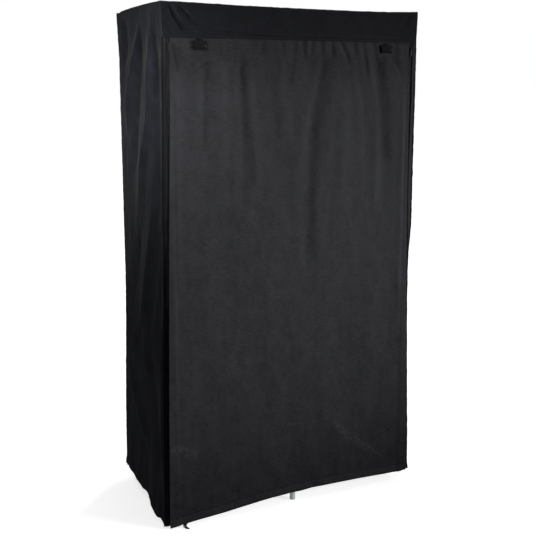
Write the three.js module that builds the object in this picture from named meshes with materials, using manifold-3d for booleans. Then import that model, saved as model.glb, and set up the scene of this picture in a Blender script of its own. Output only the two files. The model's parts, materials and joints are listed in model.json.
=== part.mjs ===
// Portable fabric wardrobe: steel tubes plugged into plastic fittings stand inside a sewn cloth cover.
// The front door closes with a zip at each side and folds up under the header band.
// Millimetres, +Z up, the front looks along -Y, the origin is on the floor under the middle.

import * as THREE from "three";
import { mergeVertices } from "three/addons/utils/BufferGeometryUtils.js";
import Module from "manifold-3d";

// Cover
const coverWidth = 870;
const coverDepth = 450;
const coverTop = 1600;
const hemHeight = 25;
const hemRise = 17;
const hemSteps = 12;
const panelThickness = 3;
const bandHeight = 100;
const seamGap = 0.3;

// Door, a cloth that folds like a concertina
const doorThickness = 5;
const doorStrips = 10;
const doorEdgeGap = 6;
const foldGap = 0.3;

// Zips
const zipInset = 22;
const chainWidth = 6;
const chainThickness = 2.4;
const chainSplit = 0.3;
const tapeReach = 12;
const tapeThickness = 1;
const tapeOverlap = 0.4;
const zipBoxWidth = 4;
const zipBoxHeight = 10;
const zipBoxWall = 0.5;

// Zip sliders and their pull tabs
const sliderWidth = 9;
const sliderLength = 12;
const sliderPlate = 1.2;
const sliderTopGap = 15;
const runningGap = 0.3;
const earThickness = 1.2;
const earHeight = 4;
const earReach = 3.6;
const pinRadius = 0.7;
const pinStandOff = 2.2;
const pinDrop = 4;
const hubWidth = 3;
const hubRadius = 1.7;
const pullLength = 20;
const pullWidth = 6;
const pullThickness = 1.4;
const pullNeck = 3.2;
const pullHoleRadius = 1.2;

// Roll-up ties on the door
const tieInset = 115;
const tieWidth = 48;
const tieHeight = 25;
const tieThickness = 6;
const tieStemWidth = 20;
const tieStemHeight = 7;
const tieDrop = 3;

// Frame tubes
const tubeDiameter = 16;
const tubeWall = 0.6;
const uprightSplit = 820;
const neckLength = 40;
const roundSides = 16;

// Frame fittings
const fittingDiameter = 24;
const fitGap = 0.3;
const cornerReach = 40;
const tubeStop = 13;
const teeLength = 61;
const teeStop = 2;
const sleeveLength = 36;
const footDiameter = 18;
const bottomRailHeight = 39;

// Tape loops on the bottom front rail
const loopWidth = 8;
const loopThickness = 1.2;
const shortTail = 6;
const longTail = 30;
const tailLean = THREE.MathUtils.degToRad(34);
const tailHoleRadius = 1.6;

// Places worked out from the sizes above
const cutOverrun = 1;
const sideX = coverWidth / 2;
const frontY = -coverDepth / 2;
const backY = coverDepth / 2;
const bandBottom = coverTop - bandHeight;
const sideInnerX = sideX - panelThickness - seamGap;
const zipX = sideX - zipInset;
const zipY = frontY + doorThickness / 2;
const chainBackY = zipY + chainThickness / 2;
const tapeBackY = chainBackY + tapeThickness - tapeOverlap;
const sliderBackY = tapeBackY + runningGap + sliderPlate;
const tubeRadius = tubeDiameter / 2;
const fittingRadius = fittingDiameter / 2;
const boreRadius = tubeRadius + fitGap;
const postX = sideX - panelThickness - seamGap - fittingRadius;
const postFrontY = sliderBackY + fitGap + fittingRadius;
const postBackY = backY - panelThickness - seamGap - fittingRadius;
const topRailHeight = coverTop - panelThickness - seamGap - fittingRadius;
const doorHalfWidth = zipX - doorEdgeGap;
const stripPitch = (bandBottom - hemHeight) / doorStrips;

// Finishes
const cloth = { color: 0x323435, roughness: 0.9, metalness: 0 };
const webbing = { color: 0x17181a, roughness: 0.8, metalness: 0 };
const zipCoil = { color: 0x121315, roughness: 0.55, metalness: 0 };
const steel = { color: 0xc9ccce, roughness: 0.45, metalness: 0.2 };
const plastic = { color: 0xd8dad8, roughness: 0.5, metalness: 0 };

const wasm = await Module();
wasm.setup();

const wardrobe = new THREE.Group();

function addPiece(name, geometry, finish) {
  const mesh = new THREE.Mesh(geometry, new THREE.MeshStandardMaterial(finish));
  mesh.name = name;
  wardrobe.add(mesh);
  return mesh;
}

// Boolean joins and cuts
function toSolid(geometry) {
  const plain = geometry.clone();
  plain.deleteAttribute("normal");
  plain.deleteAttribute("uv");
  const welded = mergeVertices(plain);
  return new wasm.Manifold(
    new wasm.Mesh({
      numProp: 3,
      vertProperties: Float32Array.from(welded.attributes.position.array),
      triVerts: Uint32Array.from(welded.index.array),
    }),
  );
}

function toGeometry(solid) {
  const result = solid.getMesh();
  const geometry = new THREE.BufferGeometry();
  geometry.setAttribute("position", new THREE.BufferAttribute(Float32Array.from(result.vertProperties), 3));
  geometry.setIndex(new THREE.BufferAttribute(Uint32Array.from(result.triVerts), 1));
  geometry.computeVertexNormals();
  return geometry;
}

function joined(geometries) {
  return geometries.map(toSolid).reduce((whole, next) => whole.add(next));
}

function shaped(additions, cuts) {
  const body = joined(additions);
  return toGeometry(cuts.length ? body.subtract(joined(cuts)) : body);
}

// A block between two corners
function block([x0, y0, z0], [x1, y1, z1]) {
  const geometry = new THREE.BoxGeometry(x1 - x0, y1 - y0, z1 - z0);
  return geometry.translate((x0 + x1) / 2, (y0 + y1) / 2, (z0 + z1) / 2);
}

// A round bar along Z from one height to another
function bar(radius, from, to) {
  const geometry = new THREE.CylinderGeometry(radius, radius, to - from, roundSides);
  return geometry.rotateX(Math.PI / 2).translate(0, 0, (from + to) / 2);
}

// An outline in X and Z given a thickness along Y, starting at nearY
function plate(points, nearY, thickness, holes = []) {
  const outline = new THREE.Shape(points.map(([x, z]) => new THREE.Vector2(x, z)));
  for (const { x, z, radius } of holes) {
    outline.holes.push(new THREE.Path().absarc(x, z, radius, 0, 2 * Math.PI, true));
  }
  const options = { depth: thickness, bevelEnabled: false, curveSegments: roundSides / 2 };
  const geometry = new THREE.ExtrudeGeometry(outline, options);
  return geometry.rotateX(Math.PI / 2).translate(0, nearY + thickness, 0);
}

// Directions that a socket or a tube can point in, as turns of a bar along Z
const up = (geometry) => geometry;
const towardsX = (geometry) => geometry.rotateY(Math.PI / 2);
const towardsMinusX = (geometry) => geometry.rotateY(-Math.PI / 2);
const towardsY = (geometry) => geometry.rotateX(-Math.PI / 2);
const towardsMinusY = (geometry) => geometry.rotateX(Math.PI / 2);
const down = (geometry) => geometry.rotateX(Math.PI);

// A thin-walled tube along Z, with its lower end at the origin, as an outline turned round its axis
function tubeGeometry(outline) {
  const closed = [...outline, outline[0]];
  const profile = closed.map(([radius, height]) => new THREE.Vector2(radius, height));
  return new THREE.LatheGeometry(profile, roundSides).rotateX(Math.PI / 2);
}

function plainTube(length) {
  const inner = tubeRadius - tubeWall;
  return tubeGeometry([
    [inner, 0],
    [tubeRadius, 0],
    [tubeRadius, length],
    [inner, length],
  ]);
}

function neckedTube(length) {
  const inner = tubeRadius - tubeWall;
  const neckOuter = inner - fitGap;
  const neckInner = neckOuter - tubeWall;
  return tubeGeometry([
    [inner, 0],
    [tubeRadius, 0],
    [tubeRadius, length],
    [neckOuter, length],
    [neckOuter, length + neckLength],
    [neckInner, length + neckLength],
    [neckInner, length - tubeWall],
    [inner, length - tubeWall],
  ]);
}

// Lays a tube along X or Y between two places on the same line
function layTube(name, [x0, y0, z0], [x1, y1, z1]) {
  const length = Math.abs(x1 - x0) + Math.abs(y1 - y0);
  const rail = addPiece(name, plainTube(length), steel);
  rail.position.set(Math.min(x0, x1), Math.min(y0, y1), z0);
  if (x0 === x1) {
    rail.rotation.x = -Math.PI / 2;
  } else {
    rail.rotation.y = Math.PI / 2;
  }
  return rail;
}

// A corner fitting has three sockets that meet in a ball, and a foot where it stands on the floor
function cornerFitting(sideways, lengthways, vertical, footLength) {
  const reaches = [sideways, lengthways, vertical];
  const sockets = reaches.map((turn) => turn(bar(fittingRadius, 0, cornerReach)));
  const bores = reaches.map((turn) => turn(bar(boreRadius, tubeStop - fitGap, cornerReach + cutOverrun)));
  const ball = new THREE.SphereGeometry(fittingRadius, roundSides, roundSides / 2).rotateX(Math.PI / 2);
  const foot = footLength ? [bar(footDiameter / 2, -footLength, 0)] : [];
  return shaped([ball, ...sockets, ...foot], bores);
}

function buildCorners() {
  for (const [depthName, y, lengthways] of [
    ["front", postFrontY, towardsY],
    ["back", postBackY, towardsMinusY],
  ]) {
    for (const [sideName, side, sideways] of [
      ["left", -1, towardsX],
      ["right", 1, towardsMinusX],
    ]) {
      const lower = cornerFitting(sideways, lengthways, up, bottomRailHeight);
      const foot = addPiece(`bottom_corner_${depthName}_${sideName}`, lower, plastic);
      foot.position.set(side * postX, y, bottomRailHeight);
      const upper = cornerFitting(sideways, lengthways, down, 0);
      const cap = addPiece(`top_corner_${depthName}_${sideName}`, upper, plastic);
      cap.position.set(side * postX, y, topRailHeight);
    }
  }
}

// A tee joins the two halves of a bottom rail and stands on its own foot
function buildTees() {
  for (const [depthName, y] of [
    ["front", postFrontY],
    ["back", postBackY],
  ]) {
    const body = towardsX(bar(fittingRadius, -teeLength / 2, teeLength / 2));
    const foot = bar(footDiameter / 2, -bottomRailHeight, 0);
    const reach = teeLength / 2 + cutOverrun;
    const bores = [towardsX(bar(boreRadius, teeStop - fitGap, reach))];
    bores.push(towardsMinusX(bar(boreRadius, teeStop - fitGap, reach)));
    const tee = addPiece(`bottom_tee_${depthName}`, shaped([body, foot], bores), plastic);
    tee.position.set(0, y, bottomRailHeight);
  }
}

// A sleeve slides on a top side rail and holds one end of the hanging rail
function buildSleeves() {
  const middleY = (postFrontY + postBackY) / 2;
  for (const [sideName, side, inward] of [
    ["left", -1, towardsX],
    ["right", 1, towardsMinusX],
  ]) {
    const halfLength = sleeveLength / 2;
    const body = towardsY(bar(fittingRadius, -halfLength, halfLength));
    const socket = inward(bar(fittingRadius, 0, cornerReach));
    const through = towardsY(bar(boreRadius, -halfLength - cutOverrun, halfLength + cutOverrun));
    const blind = inward(bar(boreRadius, tubeStop - fitGap, cornerReach + cutOverrun));
    const shell = shaped([body, socket], [through, blind]);
    const sleeve = addPiece(`hanging_rail_sleeve_${sideName}`, shell, plastic);
    sleeve.position.set(side * postX, middleY, topRailHeight);
  }
  const end = postX - tubeStop;
  layTube("hanging_rail", [-end, middleY, topRailHeight], [end, middleY, topRailHeight]);
}

function buildUprights() {
  for (const [depthName, y] of [
    ["front", postFrontY],
    ["back", postBackY],
  ]) {
    for (const [sideName, side] of [
      ["left", -1],
      ["right", 1],
    ]) {
      const lowerStart = bottomRailHeight + tubeStop;
      const lower = neckedTube(uprightSplit - fitGap - lowerStart);
      const stub = addPiece(`upright_lower_${depthName}_${sideName}`, lower, steel);
      stub.position.set(side * postX, y, lowerStart);
      const upper = plainTube(topRailHeight - tubeStop - uprightSplit);
      const post = addPiece(`upright_upper_${depthName}_${sideName}`, upper, steel);
      post.position.set(side * postX, y, uprightSplit);
    }
  }
}

function buildRails() {
  const end = postX - tubeStop;
  for (const [depthName, y] of [
    ["front", postFrontY],
    ["back", postBackY],
  ]) {
    const low = bottomRailHeight;
    layTube(`bottom_rail_${depthName}_left`, [-end, y, low], [-teeStop, y, low]);
    layTube(`bottom_rail_${depthName}_right`, [teeStop, y, low], [end, y, low]);
    layTube(`top_rail_${depthName}`, [-end, y, topRailHeight], [end, y, topRailHeight]);
  }
  for (const [sideName, side] of [
    ["left", -1],
    ["right", 1],
  ]) {
    const x = side * postX;
    const nearY = postFrontY + tubeStop;
    const farY = postBackY - tubeStop;
    layTube(`bottom_rail_${sideName}`, [x, nearY, bottomRailHeight], [x, farY, bottomRailHeight]);
    layTube(`top_rail_${sideName}`, [x, nearY, topRailHeight], [x, farY, topRailHeight]);
  }
}

// A tape loop round the bottom front rail; its tail hangs under the hem
function tapeLoop(tail, lean, hole) {
  const ring = new THREE.Shape().absarc(0, 0, boreRadius + loopThickness, 0, 2 * Math.PI, false);
  ring.holes.push(new THREE.Path().absarc(0, 0, boreRadius, 0, 2 * Math.PI, true));
  const options = { depth: loopWidth, bevelEnabled: false, curveSegments: roundSides / 2 };
  const loop = new THREE.ExtrudeGeometry(ring, options).rotateY(Math.PI / 2).translate(-loopWidth / 2, 0, 0);
  const root = -boreRadius - loopThickness / 2;
  const half = loopWidth / 2;
  const tip = root - tail;
  const drift = (tail - half) * Math.tan(lean);
  const outline = [
    [-half, root],
    [drift - half, tip + half],
    [drift, tip],
    [drift + half, tip + half],
    [half, root],
  ];
  const holes = hole ? [{ x: drift, z: tip + half, radius: tailHoleRadius }] : [];
  return shaped([loop, plate(outline, -loopThickness / 2, loopThickness, holes)], []);
}

function buildTapeLoops() {
  const outerX = postX - cornerReach - fitGap - loopWidth / 2;
  const innerX = teeLength / 2 + fitGap + loopWidth / 2;
  for (const [name, x, tail, lean, hole] of [
    ["hem_loop_left", -outerX, longTail, tailLean, true],
    ["hem_loop_middle_left", -innerX, shortTail, 0, false],
    ["hem_loop_middle_right", innerX, shortTail, 0, false],
    ["hem_loop_right", outerX, shortTail, 0, false],
  ]) {
    addPiece(name, tapeLoop(tail, lean, hole), webbing).position.set(x, postFrontY, bottomRailHeight);
  }
}

// The sewn cloth panels that never move
function buildCover() {
  const sideTop = coverTop - panelThickness - seamGap;
  const frontInner = frontY + panelThickness;
  const top = block([-sideX, frontY, coverTop - panelThickness], [sideX, backY, coverTop]);
  addPiece("top_panel", top, cloth);
  for (const [sideName, side] of [
    ["left", -1],
    ["right", 1],
  ]) {
    const panel = block([-panelThickness / 2, frontY, hemHeight], [panelThickness / 2, backY, sideTop]);
    addPiece(`side_panel_${sideName}`, panel, cloth).position.x = side * (sideX - panelThickness / 2);
    const borderWidth = sideInnerX - zipX - sliderWidth / 2 - runningGap;
    const borderTop = bandBottom - foldGap;
    const border = block([-borderWidth / 2, frontY, hemHeight], [borderWidth / 2, frontInner, borderTop]);
    addPiece(`front_border_${sideName}`, border, cloth).position.x = side * (sideInnerX - borderWidth / 2);
  }
  const back = block([-sideInnerX, backY - panelThickness, hemHeight], [sideInnerX, backY, sideTop]);
  addPiece("back_panel", back, cloth);
  const band = block([-sideInnerX, frontY, bandBottom + foldGap], [sideInnerX, frontInner, sideTop]);
  addPiece("header_band", band, cloth);
}

// The half of each zip that is sewn to the border: a tape, its coil and the box at its foot
function buildZipTapes() {
  const coilOuter = -chainWidth / 2;
  const coilInner = -chainSplit / 2;
  const coilFrontY = zipY - chainThickness / 2;
  const top = bandBottom - foldGap;
  for (const [sideName, side] of [
    ["left", -1],
    ["right", 1],
  ]) {
    const tapeEnd = (coilOuter + coilInner) / 2;
    const tape = block([-tapeReach, chainBackY - tapeOverlap, hemHeight], [tapeEnd, tapeBackY, top]);
    const coil = block([coilOuter, coilFrontY, hemHeight], [coilInner, chainBackY, top]);
    const boxTop = hemHeight + zipBoxHeight;
    const box = block([-zipBoxWidth, coilFrontY - zipBoxWall, hemHeight], [coilInner, chainBackY, boxTop]);
    const half = addPiece(`zip_tape_${sideName}`, shaped([tape, coil, box], []), zipCoil);
    half.position.x = side * zipX;
    if (side > 0) {
      mirrorAcrossX(half.geometry);
    }
  }
}

// Turns a left-hand shape into the right-hand one
function mirrorAcrossX(geometry) {
  geometry.scale(-1, 1, 1);
  const corners = geometry.index.array;
  for (let corner = 0; corner < corners.length; corner += 3) {
    [corners[corner], corners[corner + 1]] = [corners[corner + 1], corners[corner]];
  }
  geometry.computeVertexNormals();
}

// A slider wraps the sewn half of the coil and carries two ears and a pin for its pull tab
function sliderGeometry() {
  const half = sliderWidth / 2;
  const plateBack = zipY - chainThickness / 2 - runningGap;
  const plateFront = plateBack - sliderPlate;
  const webStart = coilClear();
  const front = block([-half, plateFront, 0], [half, plateBack, sliderLength]);
  const web = block([webStart, plateFront, 0], [half, sliderBackY, sliderLength]);
  const back = block([-half, sliderBackY - sliderPlate, 0], [half, sliderBackY, sliderLength]);
  const pinZ = sliderLength - pinDrop;
  const earInner = hubWidth / 2 + runningGap;
  const earLow = pinZ - earHeight / 2;
  const earHigh = pinZ + earHeight / 2;
  const ears = [-1, 1].map((side) => {
    const xs = [side * earInner, side * (earInner + earThickness)].sort((a, b) => a - b);
    return block([xs[0], plateFront - earReach, earLow], [xs[1], plateBack, earHigh]);
  });
  const pinHalf = earInner + earThickness / 2;
  const pin = towardsX(bar(pinRadius, -pinHalf, pinHalf)).translate(0, plateFront - pinStandOff, pinZ);
  return shaped([front, web, back, ...ears, pin], []);
}

function coilClear() {
  return -chainSplit / 2 + runningGap * 2;
}

// A pull tab turns on the slider's pin
function pullGeometry() {
  const hub = towardsX(bar(hubRadius, -hubWidth / 2, hubWidth / 2));
  const halfNeck = hubWidth / 2;
  const halfWide = pullWidth / 2;
  const chamfer = halfWide - halfNeck;
  const outline = [
    [-halfNeck, 0],
    [-halfNeck, -pullNeck],
    [-halfWide, -pullNeck - chamfer],
    [-halfWide, -pullLength + chamfer],
    [-halfNeck, -pullLength],
    [halfNeck, -pullLength],
    [halfWide, -pullLength + chamfer],
    [halfWide, -pullNeck - chamfer],
    [halfNeck, -pullNeck],
    [halfNeck, 0],
  ];
  const holes = [{ x: 0, z: -pullLength + halfWide, radius: pullHoleRadius }];
  const tab = plate(outline, -pullThickness / 2, pullThickness, holes);
  const eye = towardsX(bar(pinRadius + runningGap, -hubWidth, hubWidth));
  return shaped([hub, tab], [eye]);
}

function buildSliders() {
  const low = bandBottom - sliderTopGap - sliderLength;
  const plateFront = zipY - chainThickness / 2 - runningGap - sliderPlate;
  for (const [sideName, side] of [
    ["left", -1],
    ["right", 1],
  ]) {
    const slider = addPiece(`zip_slider_${sideName}`, sliderGeometry(), zipCoil);
    slider.position.set(side * zipX, 0, low);
    if (side > 0) {
      mirrorAcrossX(slider.geometry);
    }
    const pull = addPiece(`zip_pull_${sideName}`, pullGeometry(), zipCoil);
    pull.position.set(side * zipX, plateFront - pinStandOff, low + sliderLength - pinDrop);
  }
}

// The door's strips, from the band down; the lowest one ends in the bowed hem
function buildDoor() {
  for (let strip = 0; strip < doorStrips; strip += 1) {
    const high = bandBottom - strip * stripPitch - foldGap;
    const low = bandBottom - (strip + 1) * stripPitch + foldGap;
    const name = `door_strip_${String(strip + 1).padStart(2, "0")}`;
    const last = strip === doorStrips - 1;
    const outline = [[-doorHalfWidth, high]];
    if (last) {
      for (let step = 0; step <= hemSteps; step += 1) {
        const across = (2 * step) / hemSteps - 1;
        outline.push([across * doorHalfWidth, hemHeight + hemRise * (1 - across * across)]);
      }
    } else {
      outline.push([-doorHalfWidth, low], [doorHalfWidth, low]);
    }
    outline.push([doorHalfWidth, high]);
    addPiece(name, plate(outline, frontY, doorThickness), cloth);
  }
}

// A folded webbing tie hangs from a short stem at each side of the door's top
function buildTies() {
  const halfStem = tieStemWidth / 2;
  const half = tieWidth / 2;
  const shoulder = -tieStemHeight;
  const foot = shoulder - tieHeight;
  const outline = [
    [-halfStem, 0],
    [-halfStem, shoulder],
    [-half, shoulder],
    [-half, foot],
    [half, foot],
    [half, shoulder],
    [halfStem, shoulder],
    [halfStem, 0],
  ];
  for (const [sideName, side] of [
    ["left", -1],
    ["right", 1],
  ]) {
    const band = plate(outline, -tieThickness - runningGap, tieThickness);
    const tie = addPiece(`roll_tie_${sideName}`, band, webbing);
    tie.position.set(side * (sideX - tieInset), frontY, bandBottom - tieDrop);
  }
}

buildUprights();
buildRails();
buildCorners();
buildTees();
buildSleeves();
buildTapeLoops();
buildCover();
buildZipTapes();
buildSliders();
buildDoor();
buildTies();

export default wardrobe;
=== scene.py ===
import json
import math

import bmesh
import bpy
import numpy as np
from mathutils import Matrix, Vector


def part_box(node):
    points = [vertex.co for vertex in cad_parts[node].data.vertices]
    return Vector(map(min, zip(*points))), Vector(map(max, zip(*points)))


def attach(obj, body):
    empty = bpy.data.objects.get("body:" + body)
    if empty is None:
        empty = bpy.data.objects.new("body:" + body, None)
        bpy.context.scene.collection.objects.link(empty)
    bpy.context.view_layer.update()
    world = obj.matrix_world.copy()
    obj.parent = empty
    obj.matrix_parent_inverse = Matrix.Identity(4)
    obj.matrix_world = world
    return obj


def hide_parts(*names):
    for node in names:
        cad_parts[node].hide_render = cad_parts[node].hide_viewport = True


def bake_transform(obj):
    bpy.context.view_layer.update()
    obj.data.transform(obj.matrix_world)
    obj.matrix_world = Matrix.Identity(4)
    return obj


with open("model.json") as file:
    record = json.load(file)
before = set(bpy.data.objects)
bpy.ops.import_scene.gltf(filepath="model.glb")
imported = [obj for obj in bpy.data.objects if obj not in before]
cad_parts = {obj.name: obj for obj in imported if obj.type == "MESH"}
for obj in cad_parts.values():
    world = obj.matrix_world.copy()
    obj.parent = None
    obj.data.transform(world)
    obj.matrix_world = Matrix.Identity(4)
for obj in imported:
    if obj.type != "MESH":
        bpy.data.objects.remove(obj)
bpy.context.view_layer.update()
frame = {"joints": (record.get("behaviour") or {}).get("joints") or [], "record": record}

# The room: a pale floor that takes the shadow, white all round, and soft lamps in front, behind and above.
# The camera stands to the left of the wardrobe at chest height and looks slightly down at it.
camera_place = (-1.2236, -2.6169, 1.3591)
camera_turn = math.radians(25.18)
camera_dip = math.radians(9.975)
picture_pixels = 536
focal_pixels = 862.4
axis_raised_pixels = 28.5
film_width_mm = 36
far_clip = 200
floor_half = 30.0
room_light = 0.15
floor_bounce = 0.20
floor_paleness = 0.86
floor_lift_reach = (0.5, 2.6)
floor_lift_shares = (0.74, 1.0)
# Each lamp's name, place, the spot that it faces, its width and height, watts, and spread in degrees.
lamps = (
    ("front_softbox", (2.75, -2.75, 1.25), (-0.42, -0.225, 0.88), (1.1, 0.9), 14.0, 43),
    ("high_left_softbox", (-1.08, -1.50, 1.85), (-0.435, 0.10, 1.27), (0.35, 0.3), 1.35, 34),
    ("back_softbox", (2.5, 2.7, 1.25), (0.0, 0.225, 0.88), (1.1, 0.9), 14.0, 43),
    ("ceiling_softbox", (0.3, 0.6, 4.6), (0, 0.3, 0), (3.0, 3.0), 55, 180),
)


def set_down(name, data):
    """Puts a piece, a lamp or the camera into the scene."""
    thing = bpy.data.objects.new(name, data)
    bpy.context.scene.collection.objects.link(thing)
    return thing


camera_data = bpy.data.cameras.new("camera")
camera_data.sensor_width = film_width_mm
camera_data.lens = focal_pixels / picture_pixels * film_width_mm
camera_data.shift_y = -axis_raised_pixels / picture_pixels
camera_data.clip_end = far_clip
camera = set_down("camera", camera_data)
camera.location = camera_place
camera.rotation_euler = (math.pi / 2 - camera_dip, 0, -camera_turn)
bpy.context.scene.camera = camera
bpy.context.scene.view_settings.view_transform = "Standard"

for name, place, aim, (width, height), watts, spread in lamps:
    lamp = bpy.data.lights.new(name, "AREA")
    lamp.shape = "RECTANGLE"
    lamp.size = width
    lamp.size_y = height
    lamp.energy = watts
    lamp.spread = math.radians(spread)
    stand = set_down(name, lamp)
    stand.location = place
    stand.rotation_euler = (Vector(aim) - Vector(place)).to_track_quat("-Z", "Y").to_euler()
    stand.visible_camera = False


def seen_by_camera(tree):
    """1 for rays from the camera, also through milky plastic: the room looks white but lights no more."""
    rays = tree.nodes.new("ShaderNodeLightPath")
    either = tree.nodes.new("ShaderNodeMath")
    either.operation = "MAXIMUM"
    tree.links.new(rays.outputs["Is Camera Ray"], either.inputs[0])
    tree.links.new(rays.outputs["Is Transmission Ray"], either.inputs[1])
    return either.outputs[0]


room = bpy.data.worlds.new("room")
bpy.context.scene.world = room
room.use_nodes = True
walls = room.node_tree.nodes["Background"]
walls.inputs["Color"].default_value = (1, 1, 1, 1)
strength = room.node_tree.nodes.new("ShaderNodeMapRange")
strength.inputs["To Min"].default_value = room_light
strength.inputs["To Max"].default_value = 1
room.node_tree.links.new(seen_by_camera(room.node_tree), strength.inputs["Value"])
room.node_tree.links.new(strength.outputs["Result"], walls.inputs["Strength"])

floor_mesh = bpy.data.meshes.new("floor")
floor_corners = [(x * floor_half, y * floor_half, 0) for x, y in ((-1, -1), (1, -1), (1, 1), (-1, 1))]
floor_mesh.from_pydata(floor_corners, [], [(0, 1, 2, 3)])
floor = set_down("floor", floor_mesh)
floor_paint = bpy.data.materials.new("floor_paint")
floor_paint.use_nodes = True
floor_tree = floor_paint.node_tree
floor_shader = floor_tree.nodes["Principled BSDF"]
floor_shader.inputs["Roughness"].default_value = 0.9
floor_shader.inputs["Specular IOR Level"].default_value = 0.0
floor_shader.inputs["Emission Color"].default_value = (1, 1, 1, 1)
floor_shade = floor_tree.nodes.new("ShaderNodeMix")
floor_shade.data_type = "RGBA"
floor_shade.inputs[6].default_value = (*[floor_bounce] * 3, 1)
floor_shade.inputs[7].default_value = (*[floor_paleness] * 3, 1)
floor_tree.links.new(seen_by_camera(floor_tree), floor_shade.inputs[0])
floor_tree.links.new(floor_shade.outputs[2], floor_shader.inputs["Base Color"])
floor_spot = floor_tree.nodes.new("ShaderNodeVectorMath")
floor_spot.operation = "LENGTH"
floor_tree.links.new(floor_tree.nodes.new("ShaderNodeTexCoord").outputs["Object"], floor_spot.inputs[0])
floor_lift = floor_tree.nodes.new("ShaderNodeMapRange")
floor_lift.interpolation_type = "SMOOTHSTEP"
for name, value in zip(("From Min", "From Max", "To Min", "To Max"), floor_lift_reach + floor_lift_shares):
    floor_lift.inputs[name].default_value = value
floor_tree.links.new(floor_spot.outputs["Value"], floor_lift.inputs["Value"])
floor_seen = floor_tree.nodes.new("ShaderNodeMath")
floor_seen.operation = "MULTIPLY"
floor_tree.links.new(seen_by_camera(floor_tree), floor_seen.inputs[0])
floor_tree.links.new(floor_lift.outputs["Result"], floor_seen.inputs[1])
floor_tree.links.new(floor_seen.outputs[0], floor_shader.inputs["Emission Strength"])
floor_mesh.materials.append(floor_paint)

# The frame's tubes: thin steel tube 16 mm across, cut to length and powder coated pale grey.
# They plug into the fittings; each corner post is two tubes, the lower one necked to fit the upper.
tube_wall = 0.0006
tube_lip = 0.0002
tube_sides = 40
neck_length = 0.040
neck_slope = 0.003
neck_gap = 0.0003


def surface(finish):
    """The sockets of a finish's shader."""
    return finish.node_tree.nodes["Principled BSDF"].inputs


def new_finish(name, color, roughness, specular):
    """A finish with its plain values; what varies over the surface is wired to it afterwards."""
    finish = bpy.data.materials.new(name)
    finish.use_nodes = True
    surface(finish)["Base Color"].default_value = (*color, 1)
    surface(finish)["Roughness"].default_value = roughness
    surface(finish)["Specular IOR Level"].default_value = specular
    return finish


def set_up(node, settings):
    """A setting is the value of the socket of that name, or else a property of the node."""
    for name, value in settings.items():
        if name in node.inputs:
            node.inputs[name].default_value = value
        else:
            setattr(node, name, value)
    return node


def put(finish, kind, **settings):
    """Adds a node to a finish."""
    return set_up(finish.node_tree.nodes.new("ShaderNode" + kind), settings)


def wire(finish, source, target):
    """Links a socket, or sets a plain number."""
    if hasattr(source, "links"):
        finish.node_tree.links.new(source, target)
    else:
        target.default_value = source


def calc(finish, operation, first, second=0.0):
    """One sum on two values that may vary over the surface."""
    node = put(finish, "Math", operation=operation)
    wire(finish, first, node.inputs[0])
    wire(finish, second, node.inputs[1])
    return node.outputs[0]


def plus(finish, base, value, share=1.0):
    """The base with this share of a value added to it."""
    return calc(finish, "ADD", base, calc(finish, "MULTIPLY", value, share))


def ranged(finish, value, low, high, to_low=0.0, to_high=1.0):
    """Turns values from low to high into values from to_low to to_high, with soft ends."""
    node = put(finish, "MapRange", interpolation_type="SMOOTHSTEP")
    wire(finish, value, node.inputs["Value"])
    for name, number in zip(("From Min", "From Max", "To Min", "To Max"), (low, high, to_low, to_high)):
        node.inputs[name].default_value = number
    return node.outputs["Result"]


def coordinates(finish, source):
    """Object or UV coordinates, or else the places at which a piece's thread or wire was laid."""
    if source == "laid":
        return put(finish, "Attribute", attribute_name="laid").outputs["Vector"]
    return put(finish, "TexCoord").outputs[source]


def stretched_noise(finish, source, stretch, scale, detail=3.0, roughness=0.55):
    """Noise that is longer one way than the other: stretch shrinks the coordinates of its long way."""
    mapping = put(finish, "Mapping", Scale=stretch)
    wire(finish, coordinates(finish, source), mapping.inputs["Vector"])
    noise = put(finish, "TexNoise", Scale=scale, Detail=detail, Roughness=roughness)
    wire(finish, mapping.outputs["Vector"], noise.inputs["Vector"])
    return noise.outputs["Fac"]


def tint(finish, share, low, high):
    """Lets the base colour run from one colour to another."""
    mix = put(finish, "Mix", data_type="RGBA")
    wire(finish, share, mix.inputs[0])
    mix.inputs[6].default_value = (*low, 1)
    mix.inputs[7].default_value = (*high, 1)
    wire(finish, mix.outputs[2], surface(finish)["Base Color"])
    return mix


def raise_surface(finish, height, depth, strength=1.0):
    bump = put(finish, "Bump", Distance=depth, Strength=strength)
    wire(finish, height, bump.inputs["Height"])
    wire(finish, bump.outputs["Normal"], surface(finish)["Normal"])


def roughen(finish, value):
    wire(finish, value, surface(finish)["Roughness"])


coat_shade = (0.57, 0.59, 0.605)
coat_light = (0.66, 0.68, 0.69)
coat_middle = (0.62, 0.64, 0.65)
powder_coat = new_finish("powder_coat", coat_middle, 0.38, 0.45)
coat_clouds = stretched_noise(powder_coat, "Object", (1, 1, 1), 18, 4)
tint(powder_coat, ranged(powder_coat, coat_clouds, 0.35, 0.7), coat_shade, coat_light)
coat_grain = stretched_noise(powder_coat, "Object", (1, 1, 1), 900, 2)
raise_surface(powder_coat, coat_grain, 0.00012, 0.35)
roughen(powder_coat, ranged(powder_coat, coat_clouds, 0.3, 0.7, 0.32, 0.46))


def add_mesh(name, points, faces, finish, sharp_degrees=40):
    """A closed mesh piece with its normals set outwards and its sharp edges kept."""
    mesh = bpy.data.meshes.new(name)
    mesh.from_pydata([tuple(p) for p in points], [], [tuple(f) for f in faces])
    shell = bmesh.new()
    shell.from_mesh(mesh)
    bmesh.ops.remove_doubles(shell, verts=shell.verts, dist=1e-6)
    bmesh.ops.recalc_face_normals(shell, faces=shell.faces)
    shell.to_mesh(mesh)
    shell.free()
    mesh.shade_smooth()
    mesh.set_sharp_from_angle(angle=math.radians(sharp_degrees))
    mesh.materials.append(finish)
    return set_down(name, mesh)


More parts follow.
